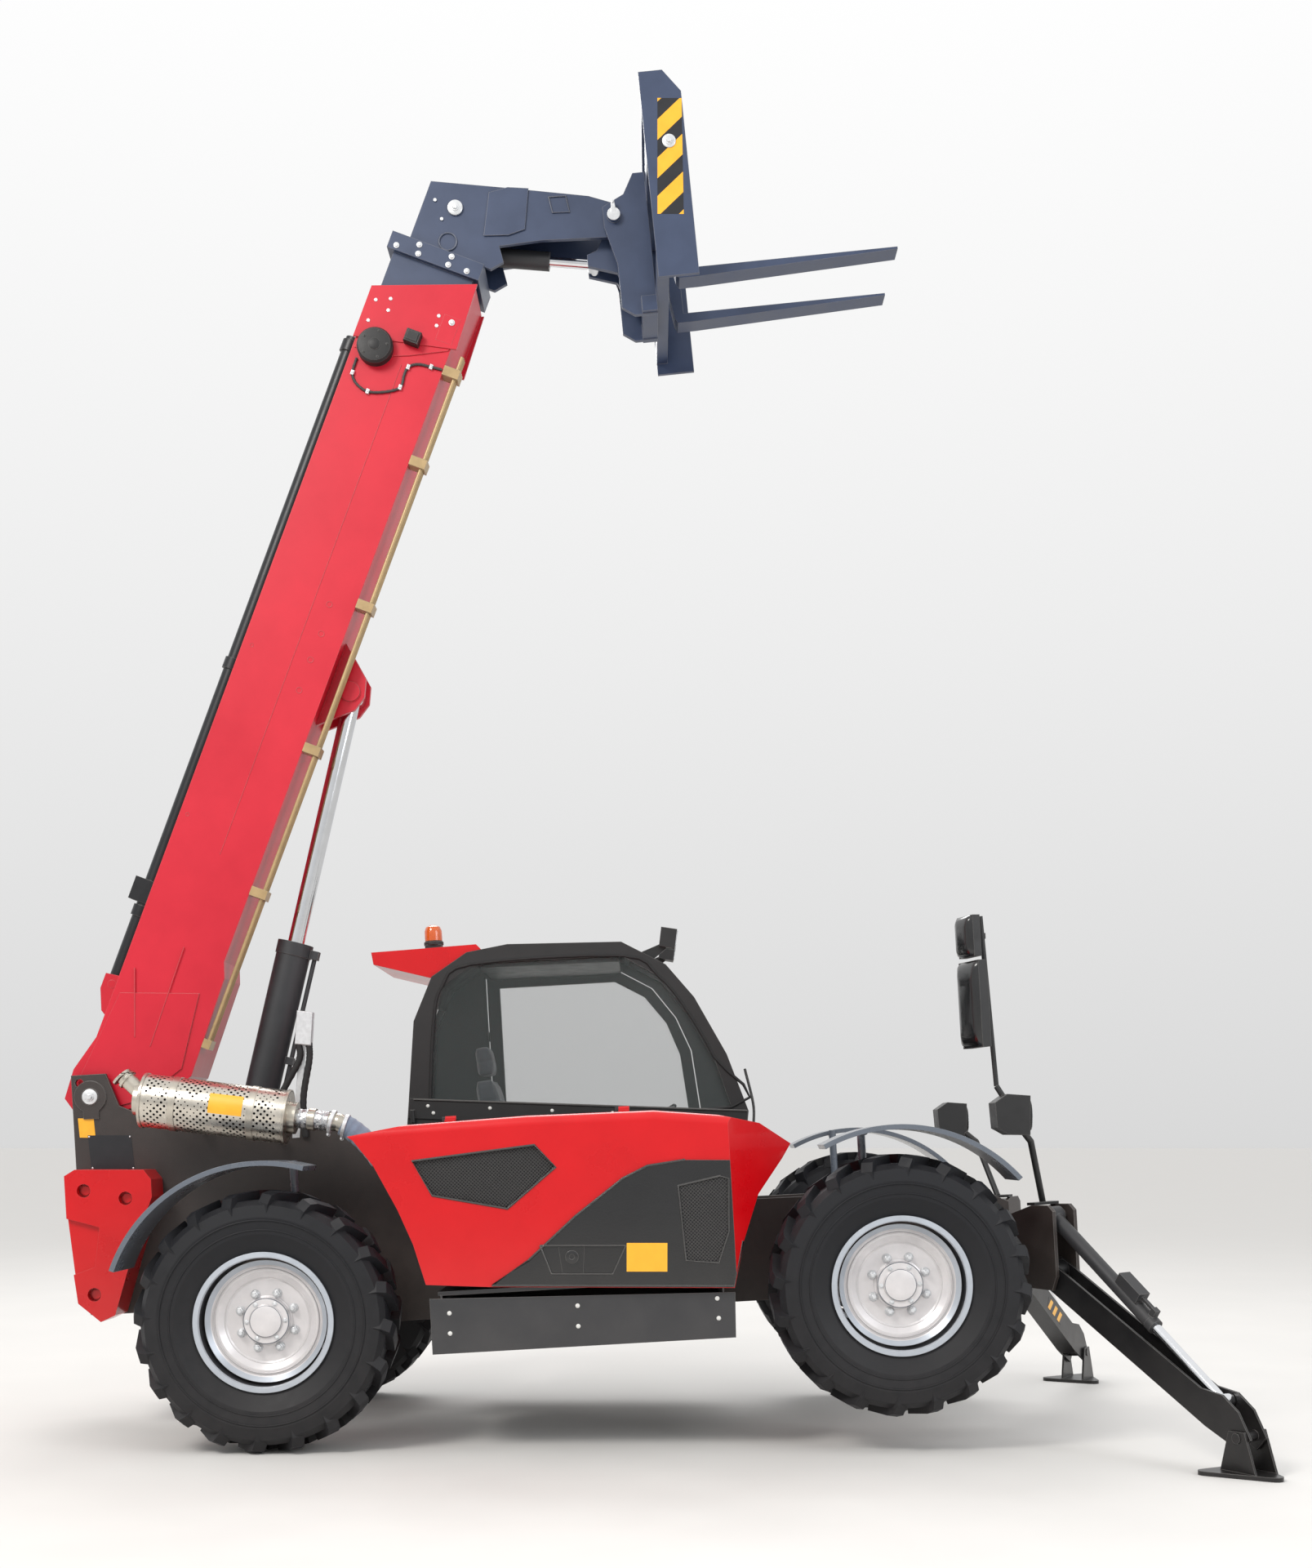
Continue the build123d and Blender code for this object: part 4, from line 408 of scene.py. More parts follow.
def plate(bm, at, outline, low, high, finish=0, chamfer=0.0):
    """A plate whose outline lies in the frame's x-z plane, from y low to y high, with its edges broken by a chamfer."""
    middle = Vector((sum(x for x, _ in outline) / len(outline), 0, sum(z for _, z in outline) / len(outline)))
    rows = []
    for y, inward in ((low, chamfer), (low + chamfer, 0), (high - chamfer, 0),
                      (high, chamfer)) if chamfer else ((low, 0), (high, 0)):
        row = []
        for x, z in outline:
            out = Vector((x, 0, z)) - middle
            row.append(at @ (middle + out * (1 - inward / max(out.length, 1e-6)) + Vector((0, y, 0))))
        rows.append(row)
    skin(bm, rows, finish)


def turned(bm, at, profile, steps=32):
    """A turned part about the frame's y axis; profile is (radius, y) pairs."""
    skin(bm, [trace(at, y, *around(steps, max(r, 0.02))) for r, y in profile])


def tube(bm, points, radius, steps=14, caps=True):
    """A tube through points in metres; radius is a number or one number for each point."""
    radii = radius if hasattr(radius, "__len__") else [radius] * len(points)
    points = [Vector(p) for p in points]
    side = None
    rows = []
    for i, p in enumerate(points):
        run = (points[min(i + 1, len(points) - 1)] - points[max(i - 1, 0)]).normalized()
        if side is None:
            side = run.orthogonal().normalized()
        side = (side - run * side.dot(run)).normalized()
        across = run.cross(side)
        rows.append([p + (side * c + across * s) * radii[i] for c, s in around(steps)])
    skin(bm, rows, caps=caps)


def turned_ring(bm, at, radius, y, half, steps=72):
    """A ring of round section about the frame's y axis; half is its section's radius in millimetres."""
    loop = trace(at, y, *around(steps, radius))
    tube(bm, loop + loop[:1], half / 1000, 8, caps=False)


def bend(points, steps=8):
    """A smooth line through a few points."""
    p = [Vector(q) for q in points]
    p = [2 * p[0] - p[1]] + p + [2 * p[-1] - p[-2]]
    line = []
    for a, b, c, d in zip(p, p[1:], p[2:], p[3:]):
        for k in range(steps):
            t = k / steps
            line.append(0.5 * (2 * b + (c - a) * t + (2 * a - 5 * b + 4 * c - d) * t ** 2
                               + (3 * b - a - 3 * c + d) * t ** 3))
    return line + [p[-2]]


def bolt(bm, at, x, z, face, side, flats=24.0, head=12.0):
    """A hexagon bolt head with its washer on a face at y; side is the way it stands out."""
    here = at @ Matrix.Translation((x, face, z))
    turned(bm, here, [(flats * 0.4, side * 0.5), (flats * 0.86, 0), (flats * 0.86, side * 3),
                      (flats * 0.5, side * 3.2)], 20)
    radius = flats / math.sqrt(3)
    turned(bm, here, [(radius, 0), (radius, side * (head - 2)), (radius * 0.86, side * head)], 6)


def rivet(bm, at, x, z, face, side, radius):
    """A domed rivet head on a face at y."""
    turned(bm, at @ Matrix.Translation((x, face, z)), [(radius, -side * 0.5), (radius, side * radius * 0.18),
                                                       (radius * 0.8, side * radius * 0.42),
                                                       (radius * 0.4, side * radius * 0.55), (0, side * radius * 0.58)],
           16)


def clipped(outline, edge):
    """The part of an outline on the left of a line between two points, all in x and z."""
    (ax, az), (bx, bz) = edge
    side = [(bx - ax) * (z - az) - (bz - az) * (x - ax) for x, z in outline]
    kept = []
    for i, (p, d) in enumerate(zip(outline, side)):
        q, e = outline[(i + 1) % len(outline)], side[(i + 1) % len(outline)]
        if d >= 0:
            kept.append(p)
        if (d > 0 > e) or (d < 0 < e):
            t = d / (d - e)
            kept.append((p[0] + (q[0] - p[0]) * t, p[1] + (q[1] - p[1]) * t))
    return kept


def inside(strip, outline):
    """A strip cut off at a convex outline."""
    area = sum(x0 * z1 - x1 * z0 for (x0, z0), (x1, z1) in zip(outline, outline[1:] + outline[:1]))
    loop = outline if area > 0 else list(reversed(outline))
    for edge in zip(loop, loop[1:] + loop[:1]):
        strip = clipped(strip, edge)
        if len(strip) < 3:
            return []
    return strip


def bands(bm, at, outline, low, high, width, pitch, degrees):
    """Parallel strips across an outline, each a thin plate."""
    cx, cz = sum(x for x, _ in outline) / len(outline), sum(z for _, z in outline) / len(outline)
    c, s = math.cos(math.radians(degrees)), math.sin(math.radians(degrees))
    reach = max(math.hypot(x - cx, z - cz) for x, z in outline) + width
    for k in range(-int(reach / pitch) - 1, int(reach / pitch) + 2):
        strip = [(cx + c * u - s * (v + k * pitch), cz + s * u + c * (v + k * pitch))
                 for u, v in ((-reach, -width / 2), (reach, -width / 2), (reach, width / 2), (-reach, width / 2))]
        strip = inside(strip, outline)
        if strip:
            plate(bm, at, strip, low, high)


def piece(name, bm, body, slot, *names, sharp=34):
    """Turns a bmesh into an object with its finishes, riding on a body."""
    bmesh.ops.recalc_face_normals(bm, faces=bm.faces)
    mesh = bpy.data.meshes.new(name)
    bm.to_mesh(mesh)
    bm.free()
    for key in names:
        mesh.materials.append(FINISH[key])
    mesh.shade_smooth()
    mesh.set_sharp_from_angle(angle=math.radians(sharp))
    made = bpy.data.objects.new(name, mesh)
    bpy.context.scene.collection.objects.link(made)
    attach(made, body)
    return made


def sizes():
    return bpy.context.scene.telehandler_sizes


# ---------------------------------------------------------------- operators
class TELEHANDLER_OT_finish(bpy.types.Operator):
    """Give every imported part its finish"""
    bl_idname = "telehandler.finish"
    bl_label = "Finishes"

    def execute(self, context):
        FINISH.update(finishes())
        left = set(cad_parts) - {n for names in CAD_FINISHES.values() for n in names}
        if left:
            raise RuntimeError(f"parts without a finish: {sorted(left)}")
        for key, names in CAD_FINISHES.items():
            for n in names:
                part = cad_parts[n]
                for place in part.material_slots:
                    place.material = FINISH[key]
                if not part.material_slots:
                    part.data.materials.append(FINISH[key])
        return {"FINISHED"}


class TELEHANDLER_OT_wheels(bpy.types.Operator):
    """Wheel nuts, hub covers with their screws, valves and the tyres' moulded rings"""
    bl_idname = "telehandler.wheels"
    bl_label = "Wheel fastenings"

    def execute(self, context):
        flats = sizes().nut * 1000
        for end, x in WHEELS.items():
            for name, side in SIDES.items():
                at = MACHINE @ Matrix.Translation((x, 0, AXLE_Z))
                bm = bmesh.new()
                for cx, cz in around(8, 137.5, 0.5):
                    here = at @ Matrix.Translation((cx, side * DISC, cz))
                    turned(bm, here, [(flats * 0.72, 0), (flats * 0.72, side * 4), (flats * 0.58, side * 9)], 24)
                    turned(bm, here, [(flats / 1.732, side * 4), (flats / 1.732, side * 24), (flats * 0.5, side * 27)],
                           6)
                    turned(bm, here, [(flats * 0.34, side * 20), (flats * 0.34, side * 36), (flats * 0.28, side * 39),
                                      (0, side * 39)], 16)
                for cx, cz in around(6, 92):
                    bolt(bm, at, cx, cz, side * 1071, side, flats=14, head=7)
                piece(f"wheel_nuts_{end}_{name}", bm, f"wheel_{end}_{name}", "rim_silver", "zinc")
                bm = bmesh.new()
                # pressed cover over the hub, in the disc's paint
                turned(bm, at, [(r, side * y) for r, y in ((121, 1024.2), (121, 1027), (112, 1030), (111.5, 1062),
                                                           (106, 1070.5), (80, 1071.5), (77.5, 1080), (70, 1083.5),
                                                           (30, 1084.5), (0, 1084.5))], 56)
                for r in (206, 250):
                    turned_ring(bm, at, r, side * (1030 if r < 220 else 1058), 3.2)
                piece(f"hub_cover_{end}_{name}", bm, f"wheel_{end}_{name}", "rim_silver", f"rim {end}")
                bm = bmesh.new()
                # valve stem through the rim's cone
                tube(bm, [at @ Vector((180, side * 1020, 150)), at @ Vector((196, side * 1046, 164))], [0.008, 0.006],
                     12)
                # moulded rings on the sidewall
                for r, y in ((352, 1131), (440, 1170), (486, 1178)):
                    turned_ring(bm, at, r, side * y, 4.0)
                piece(f"tyre_rings_{end}_{name}", bm, f"wheel_{end}_{name}", "tyre", "tyre")
        return {"FINISHED"}


class TELEHANDLER_OT_boom(bpy.types.Operator):
    """Cable reel cover, work lamp, harness, nose plates, weld marks and bolts of the boom"""
    bl_idname = "telehandler.boom"
    bl_label = "Boom details"

    def execute(self, context):
        bm = bmesh.new()
        for side in (-1, 1):
            # wear-pad plates at the nose
            plate(bm, BOOM, [(4150, 84), (4452, 84), (4474, 40), (4474, -384), (4300, -384), (4205, -200), (4150, -60)],
                  *out(side, BOOM_SIDE, 196), chamfer=2)
            plate(bm, BOOM, [(4330, -392), (4474, -392), (4474, -300), (4330, -300)], *out(side, 196, 203), chamfer=2)
            # the line where the side plate is folded, and the plug welds under it
            tube(bm, trace(BOOM, side * 190.2, (1420, -178), (4150, -178)), 0.0022, 8)
            tube(bm, trace(BOOM, side * 198.2, (352, -186), (900, -172)), 0.003, 8)
            for s, t in ((2844, -260), (2685, -274), (2538, -268), (2368, -268)):
                turned_ring(bm, BOOM @ Matrix.Translation((s, 0, t)), 15, side * BOOM_SIDE, 2.2, 28)
            tube(bm, trace(BOOM, side * 198.4, (709, 33), (370, -94)), 0.004, 8)
            # smaller plug welds of the inner stiffener
            for s, t in ((2503, 46), (1557, 55)):
                turned_ring(bm, BOOM @ Matrix.Translation((s, 0, t)), 9, side * BOOM_SIDE, 1.6, 20)
        piece("boom_weld_marks", bm, "boom_outer", "red_paint", "boom")
        bm = bmesh.new()
        for side in (-1, 1):
            for s, t in ((4303, 62), (4417, 62), (4388, -18), (4449, -9), (4400, -283), (4452, -276), (4442, -352)):
                bolt(bm, BOOM, s, t, side * (203 if t < -300 else 196), side, flats=19, head=9)
        piece("boom_nose_bolts", bm, "boom_outer", "rim_silver", "zinc")
        bm = bmesh.new()
        at = BOOM @ Matrix.Translation((4182, 0, -24))
        turned(bm, at, [(94, -190), (94, -238), (88, -246), (84, -252), (78, -253.5), (0, -253.5)], 48)
        turned(bm, at, [(30, -253), (30, -257), (24, -260), (0, -260)], 24)
        for c, s in around(5):
            turned(bm, at @ Matrix.Translation((72 * c, -253, 66 * s)), [(6, 0), (6, -4), (0, -5)], 10)
        # work lamp beside it, on its bracket
        plate(bm, BOOM, [(4256, -234), (4324, -234), (4324, -154), (4256, -154)], -250, -190, chamfer=5)
        plate(bm, BOOM, [(4266, -224), (4314, -224), (4314, -164), (4266, -164)], -256, -250, chamfer=3)
        # harness from the reel round the lamp
        line = [(4100, 52), (4020, 46), (3975, 10), (3955, -63), (3985, -150), (4034, -215), (4100, -212), (4148, -218),
                (4180, -262), (4190, -330), (4196, -388)]
        path = bend(trace(BOOM, -196, *line), 6)
        tube(bm, path, [0.0065 + 0.0012 * (k % 2) for k in range(len(path))], 10)
        piece("boom_reel_and_lamp", bm, "boom_outer", "head_paint", "coat")
        bm = bmesh.new()
        for s, t in line[1::2]:
            plate(bm, BOOM, [(s - 13, t - 9), (s + 13, t - 9), (s + 13, t + 9), (s - 13, t + 9)], -204, -190, chamfer=2)
            rivet(bm, BOOM, s, t, -204, -1, 6)
        piece("harness_clips", bm, "boom_outer", "rim_silver", "zinc")
        bm = bmesh.new()
        for side in (-1, 1):
            for s, t in ((4724, 62), (4768, -50), (4722, -61), (4768, -230), (4722, -228), (4724, -330)):
                bolt(bm, BOOM, s, t, side * 195, side, flats=18, head=8)
        piece("boom_mid_bolts", bm, "boom_mid", "rim_silver", "zinc")
        return {"FINISHED"}


class TELEHANDLER_OT_neck(bpy.types.Operator):
    """Pin covers, keepers and stiffeners of the goose-neck"""
    bl_idname = "telehandler.neck"
    bl_label = "Goose-neck details"

    def execute(self, context):
        bm = bmesh.new()
        for side in (-1, 1):
            here = HEAD @ Matrix.Translation((-824, side * NECK_SIDE, 142))
            turned(bm, here, [(40, 0), (40, side * 8), (34, side * 12), (0, side * 12)], 32)
            bolt(bm, here, 0, 0, side * 12, side, flats=24, head=10)
            for x, z in ((-925, 195), (-900, 92), (-500, 205), (-497, 165)):
                turned(bm, HEAD @ Matrix.Translation((x, side * NECK_SIDE, z)), [(9, 0), (9, side * 2), (0, side * 2)],
                       16)
        piece("neck_pin_covers", bm, "boom_inner", "head_paint", "zinc")
        bm = bmesh.new()
        for side in (-1, 1):
            # stiffener plates pressed on the neck's side, and a hose lug
            plate(bm, HEAD, [(-640, 205), (-540, 222), (-430, 205), (-470, -8), (-560, -30), (-690, -20)],
                  *out(side, NECK_SIDE, 149), chamfer=2)
            tube(bm, trace(HEAD, side * 144.5, (-330, 150), (-240, 146), (-228, 60), (-318, 66), (-330, 150)), 0.003, 8,
                 caps=False)
            turned_ring(bm, HEAD @ Matrix.Translation((-880, 0, -30)), 46, side * NECK_SIDE, 4, 36)
        piece("neck_stiffeners", bm, "boom_inner", "head_paint", "head")
        return {"FINISHED"}


class TELEHANDLER_OT_carriage(bpy.types.Operator):
    """Hazard stripes, shaft caps and pin keepers of the carriage"""
    bl_idname = "telehandler.carriage"
    bl_label = "Carriage details"

    def execute(self, context):
        bm = bmesh.new()
        field = [(206, -226), (337, -240), (384, 338), (264, 351)]
        for side in (-1, 1):
            plate(bm, HEAD, field, *out(side, HEAD_SIDE, 620.5), 1)
            bands(bm, HEAD, field, *out(side, 620.5, 620.9), sizes().stripe * 1000, sizes().stripe * 1850, 38)
        piece("carriage_stripes", bm, "carriage", "head_paint", "vinyl", "dark vinyl")
        bm = bmesh.new()
        for side in (-1, 1):
            here = HEAD @ Matrix.Translation((300, side * HEAD_SIDE, 131))
            turned(bm, here, [(34, 0), (34, side * 5), (28, side * 8), (0, side * 8)], 32)
            bolt(bm, here, 0, 0, side * 8, side, flats=24, head=12)
            # teardrop keeper of the head pin
            here = HEAD @ Matrix.Translation((0, side * 200, 0))
            plate(bm, here, around(24, 34), *out(side, 0, 6), chamfer=1)
            plate(bm, here, [(-14, 10), (14, 10), (9, 72), (-9, 72)], *out(side, 0, 5), chamfer=1)
            rivet(bm, here, 0, 62, side * 5, side, 7)
        piece("carriage_pin_caps", bm, "carriage", "rim_silver", "zinc")
        return {"FINISHED"}


class TELEHANDLER_OT_exhaust(bpy.types.Operator):
    """Pierced guard, lagging, clamp and sleeve of the exhaust"""
    bl_idname = "telehandler.exhaust"
    bl_label = "Exhaust"

    def execute(self, context):
        bm = bmesh.new()
        pitch, hole = sizes().pitch * 1000, sizes().hole * 1000
        radius, thick = 134.0, 1.0
        cells = int(2 * math.pi * radius / pitch)
        columns = int((GUARD_LENGTH - 60) / pitch)

        def point(u, v, r):
            a = 2 * math.pi * v / cells
            return GUARD @ Vector((30 + u * pitch, r * math.cos(a), r * math.sin(a)))

        grid = {}

        def corner(u, v):
            key = (round(u * 2), round(v * 2) % (2 * cells))
            if key not in grid:
                grid[key] = bm.verts.new(point(u, v, radius))
            return grid[key]

        for i in range(columns):
            for j in range(cells):
                # zigzag lines without holes part triangular fields of large and small holes
                wave = abs((i / 7.0) % 2 - 1) * 10
                phase = (j - wave) % 14
                size = 0.0 if phase < 1.6 or (i + j) % 2 else (hole * 0.6 if phase < 6 else hole)
                edge = [corner(i + a, j + b) for a, b in ((0, 0), (0.5, 0), (1, 0), (1, 0.5), (1, 1), (0.5, 1), (0, 1),
                                                          (0, 0.5))]
                if not size:
                    bm.faces.new(edge)
                    continue
                rims = [[bm.verts.new(point(i + 0.5 + u, j + 0.5 + v, r)) for u, v in around(8, size / pitch, 5)]
                        for r in (radius, radius - thick)]
                for k in range(8):
                    n = (k + 1) % 8
                    bm.faces.new((edge[k], edge[n], rims[0][n], rims[0][k]))
                    bm.faces.new((rims[0][k], rims[0][n], rims[1][n], rims[1][k]))
        for x0, x1 in ((14, 30), (30 + columns * pitch, GUARD_LENGTH - 14)):
            skin(bm, [[GUARD @ Vector((x, y, z)) for y, z in around(72, radius)] for x in (x0, x1)], caps=False)
        piece("exhaust_pierced_sleeve", bm, "chassis", "stainless", "sheet")
        bm = bmesh.new()
        # blank yellow plate riveted to the sleeve
        rows = [[GUARD @ Vector((x, (radius + 0.8) * math.cos(a), (radius + 0.8) * math.sin(a)))
                 for a in [math.radians(180 + d) for d in range(-34, 13, 4)]] for x in (352, 520)]
        skin(bm, rows, caps=False, closed=False)
        piece("exhaust_plate", bm, "chassis", "stainless", "vinyl")
        bm = bmesh.new()
        path = bend([MACHINE @ Vector(p) for p in ((92, -620.5, 1598), (150, -625, 1589), (215, -631, 1579),
                                                   (285, -637, 1568))], 10)
        tube(bm, path, [0.049 + 0.0012 * math.sin(k * 1.1) + 0.0008 * math.cos(k * 2.3) for k in range(len(path))], 28)
        piece("exhaust_foil", bm, "chassis", "stainless", "foil")
        bm = bmesh.new()
        path = bend([MACHINE @ Vector(p) for p in ((352, -640, 1548), (392, -640, 1521), (440, -640, 1478),
                                                   (490, -640, 1420), (530, -640, 1360))], 8)
        tube(bm, path, [0.055 + 0.0012 * math.sin(k * 1.3) for k in range(len(path))], 28)
        piece("exhaust_sleeve", bm, "chassis", "stainless", "sleeve")
        bm = bmesh.new()
        for x, z in ((296, 1566), (362, 1541)):
            here = (MACHINE @ Matrix.Translation((x, -640, z)) @ Matrix.Rotation(math.radians(20), 4, "Y")
                    @ Matrix.Rotation(math.radians(-90), 4, "Z"))
            turned(bm, here, [(50, -9), (60, -9), (60, 9), (50, 9)], 32)
            bolt(bm, here @ Matrix.Rotation(math.radians(90), 4, "Z"), 0, -66, 12, -1, flats=12, head=30)
        piece("exhaust_clamps", bm, "chassis", "rim_silver", "zinc")
        return {"FINISHED"}


VENT = [(748, 1347), (1331, 1391), (1425, 1281), (1186, 1097), (835, 1179)]
SIDE_VENT = [(1998, 1160), (2200, 1195), (2238, 1180), (2225, 930), (2169, 785), (2016, 805)]
HANDLE = [(1331, 915), (1735, 892), (1666, 761), (1377, 778)]


class TELEHANDLER_OT_pod(bpy.types.Operator):
    """Fine mesh of the grilles, pull recess, trim lines, plate and rivets of the engine pod"""
    bl_idname = "telehandler.pod"
    bl_label = "Engine pod details"

    def execute(self, context):
        pitch = sizes().mesh * 1000
        for name, outline, front, back in (("vent", VENT, -1138.6, -1134.3),
                                           ("side_vent", SIDE_VENT, -1157.6, -1154.3)):
            bm = bmesh.new()
            bands(bm, MACHINE, outline, front, front + 1.2, pitch * 0.36, pitch, 45)
            bands(bm, MACHINE, outline, front + 1.2, front + 2.4, pitch * 0.36, pitch, -45)
            # near-black backing plate behind the mesh, in painted shade
            plate(bm, MACHINE, outline, back - 1.0, back, 1)
            piece(f"{name}_mesh", bm, "hood", "black_panel", "coat", "painted_shade")
            bm = bmesh.new()
            face = -1150 if name == "vent" else -1159
            loop = trace(MACHINE, face - 0.4, *outline)
            tube(bm, loop + loop[:2], 0.0055, 10, caps=False)
            piece(f"{name}_frame", bm, "hood", "black_panel", "moulding")
        bm = bmesh.new()
        # rolled lip round the black panel, which catches the light
        rim = [(2500, 1252), (2376, 1090), (2290, 879), (2236, 672), (1094, 740), (1274, 849), (1506, 1044),
               (1739, 1209), (1859, 1262), (2038, 1280), (2500, 1252)]
        tube(bm, [MACHINE @ Vector((x, -1158.5 + max(0, x - 2250) * 1.29, z)) for x, z in rim[2:-1]], 0.006, 10)
        plate(bm, MACHINE, HANDLE, -1150.9, -1150.1)
        for a, b in zip(HANDLE, HANDLE[1:] + HANDLE[:1]):
            tube(bm, trace(MACHINE, -1159, a, b), 0.004, 10)
        turned(bm, MACHINE @ Matrix.Translation((1478, 0, 853)), [(31, -1159), (31, -1164.6), (26, -1166), (12, -1166),
                                                                  (10, -1163), (0, -1163)], 32)
        piece("pull_recess", bm, "hood", "black_panel", "moulding")
        bm = bmesh.new()
        plate(bm, MACHINE, [(1732, 769), (1924, 758), (1932, 893), (1740, 904)], -1159.7, -1159.1)
        piece("pod_plate", bm, "hood", "black_panel", "vinyl")
        bm = bmesh.new()
        for x, z in ((881, 617), (879, 521), (1490, 618), (1488, 521), (2153, 615), (2155, 521)):
            rivet(bm, MACHINE, x, z, -1120, -1, sizes().rivet * 1000)
        piece("skirt_rivets", bm, "chassis", "dark_paint", "white")
        return {"FINISHED"}


SIDE_WINDOW = [(680, 1580), (2330, 1540), (2250, 1820), (2100, 2110), (1970, 2280), (1780, 2400), (960, 2400),
               (790, 2290), (730, 2090)]


class TELEHANDLER_OT_cab(bpy.types.Operator):
    """Seals, lower band, rivets, trim, seat, steering wheel and wiper of the cab"""
    bl_idname = "telehandler.cab"
    bl_label = "Cab details"

    def execute(self, context):
        bm = bmesh.new()
        for y in (261.5, 1120.5):
            loop = bend(trace(MACHINE, y, *SIDE_WINDOW, SIDE_WINDOW[0]), 4)
            tube(bm, loop + loop[:1], 0.0085, 10, caps=False)
        piece("window_seals", bm, "chassis", "dark_paint", "seal")
        bm = bmesh.new()
        plate(bm, MACHINE, [(562, 1580), (2405, 1400), (2420, 1520), (629, 1684), (576, 1688)], 252, 262, chamfer=2)
        tube(bm, trace(MACHINE, 251, (600, 1679), (2412, 1513)), 0.005, 8)
        for z in (1588, 1400):
            turned(bm, MACHINE @ Matrix.Translation((590, 246, z)) @ Matrix.Rotation(math.radians(90), 4, "X"),
                   [(13, -34), (13, 34)], 18)
        piece("cab_lower_band", bm, "chassis", "dark_paint", "coat")
        bm = bmesh.new()
        for x, z in ((675, 1640), (1013, 1609), (1351, 1576), (1680, 1545), (703, 1600)):
            rivet(bm, MACHINE, x, z, 252, -1, sizes().rivet * 900)
        piece("cab_rivets", bm, "chassis", "dark_paint", "white")
        bm = bmesh.new()
        # dash, headliner and arm rests
        plate(bm, MACHINE, [(2010, 810), (2200, 810), (2250, 1120), (2180, 1330), (2060, 1390), (2000, 1330)], 330,
              1040, chamfer=12)
        plate(bm, MACHINE, [(1000, 2380), (1760, 2372), (1760, 2398), (1000, 2410)], 300, 1080, chamfer=6)
        for y in (330, 980):
            plate(bm, MACHINE, [(1120, 1190), (1440, 1190), (1450, 1220), (1440, 1300), (1120, 1310)], y, y + 60,
                  chamfer=14)
        piece("cab_trim", bm, "chassis", "dark_paint", "coat")
        bm = bmesh.new()
        for low, half in ((800, 215), (840, 190), (880, 215), (920, 190), (960, 215), (1000, 190), (1040, 215)):
            skin(bm, [[MACHINE @ Vector((1230 + a * (half + w), 670 + b * (half + w), low + dz)) for a,
                       b in ((-1, -1), (1, -1), (1, 1), (-1, 1))] for dz, w in ((0, -14), (12, 0), (28, 0), (40, -14))])
        base = piece("seat_base", bm, "chassis", "seat_cover", "seal")
        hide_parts("seat")
        cushion("seat_cushion", [(-250, -60), (235, -60), (262, -18), (262, 34), (225, 60), (-250, 46)], 245,
                leaning(1215, 1120, 3, 670), 0.012)
        cushion("seat_back", [(-56, -300), (46, -300), (62, -120), (52, 160), (30, 300), (-50, 300)], 235,
                leaning(1010, 1480, 6, 670), 0.012)
        cushion("head_rest", [(-38, -80), (38, -80), (44, 0), (34, 80), (-34, 80)], 130, leaning(968, 1880, 6, 670),
                0.008)
        bm = bmesh.new()
        tube(bm, bend([MACHINE @ Vector(p) for p in ((2000, 670, 900), (1995, 670, 1180), (1950, 670, 1330),
                                                     (1868, 670, 1468))], 6), 0.032, 18)
        wheel = leaning(1862, 1478, 30, 670) @ Matrix.Rotation(math.radians(90), 4, "X")
        turned_ring(bm, wheel, 185, 0, 15, 48)
        turned(bm, wheel, [(52, -20), (56, -6), (50, 10), (30, 18), (0, 18)], 28)
        for c, s in around(3, start=0.75):
            tube(bm, [wheel @ Vector((r * c, y, r * s)) for r, y in ((40, -4), (110, -6), (182, 0))],
                 [0.016, 0.012, 0.014], 12)
        piece("steering_wheel", bm, "chassis", "seat_cover", "moulding")
        bm = bmesh.new()
        # windscreen wiper on the rounded front
        tube(bm, bend([MACHINE @ Vector(p) for p in ((2462, 560, 1440), (2470, 640, 1560), (2440, 760, 1760))], 6),
             0.008, 10)
        piece("wiper", bm, "chassis", "dark_paint", "coat")
        return {"FINISHED"}


VOXEL, QUICK_VOXEL = 0.008, 0.012              # metres
CLOTH_FRAMES = 20
CHANNEL_PITCH, CHANNEL_WIDTH, CHANNEL_DEPTH = 90, 9.0, 0.006


def cushion(name, outline, half, at, cap):
    """A cushion from its side outline: voxel skin swelled by a short cloth run, capped, with sewn channels after it."""
    bm = bmesh.new()
    plate(bm, at, outline, -half, half, chamfer=16)
    made = piece(name, bm, "chassis", "seat_cover", "cloth", sharp=180)
    context = bpy.context
    context.view_layer.objects.active = made
    remesh = made.modifiers.new("skin", "REMESH")
    remesh.mode, remesh.voxel_size = "VOXEL", VOXEL
    apply(made)
    before = [v.co.copy() for v in made.data.vertices]
    cloth = made.modifiers.new("pad", "CLOTH")
    cloth.settings.use_pressure = True
    cloth.settings.uniform_pressure_force = 4.0
    cloth.settings.effector_weights.gravity = 0.0
    scene = context.scene
    start = scene.frame_current
    for n in range(1, CLOTH_FRAMES + 1):
        scene.frame_set(n)
    apply(made)
    scene.frame_set(start)
    inverse = at.inverted()
    for v, old in zip(made.data.vertices, before):
        move = v.co - old
        if move.length > cap:
            v.co = old + move * (cap / move.length)
        # sewn channels across the cushion
        here = inverse @ v.co
        along = here.x if abs(outline[0][0]) > 200 else here.z
        groove = math.exp(-(((along + CHANNEL_PITCH / 2) % CHANNEL_PITCH - CHANNEL_PITCH / 2) / CHANNEL_WIDTH) ** 2)
        v.co -= (v.co - at.translation).normalized() * CHANNEL_DEPTH * groove
    finer = made.modifiers.new("finer", "SUBSURF")
    finer.levels = finer.render_levels = 1
    apply(made)
    made.data.shade_smooth()


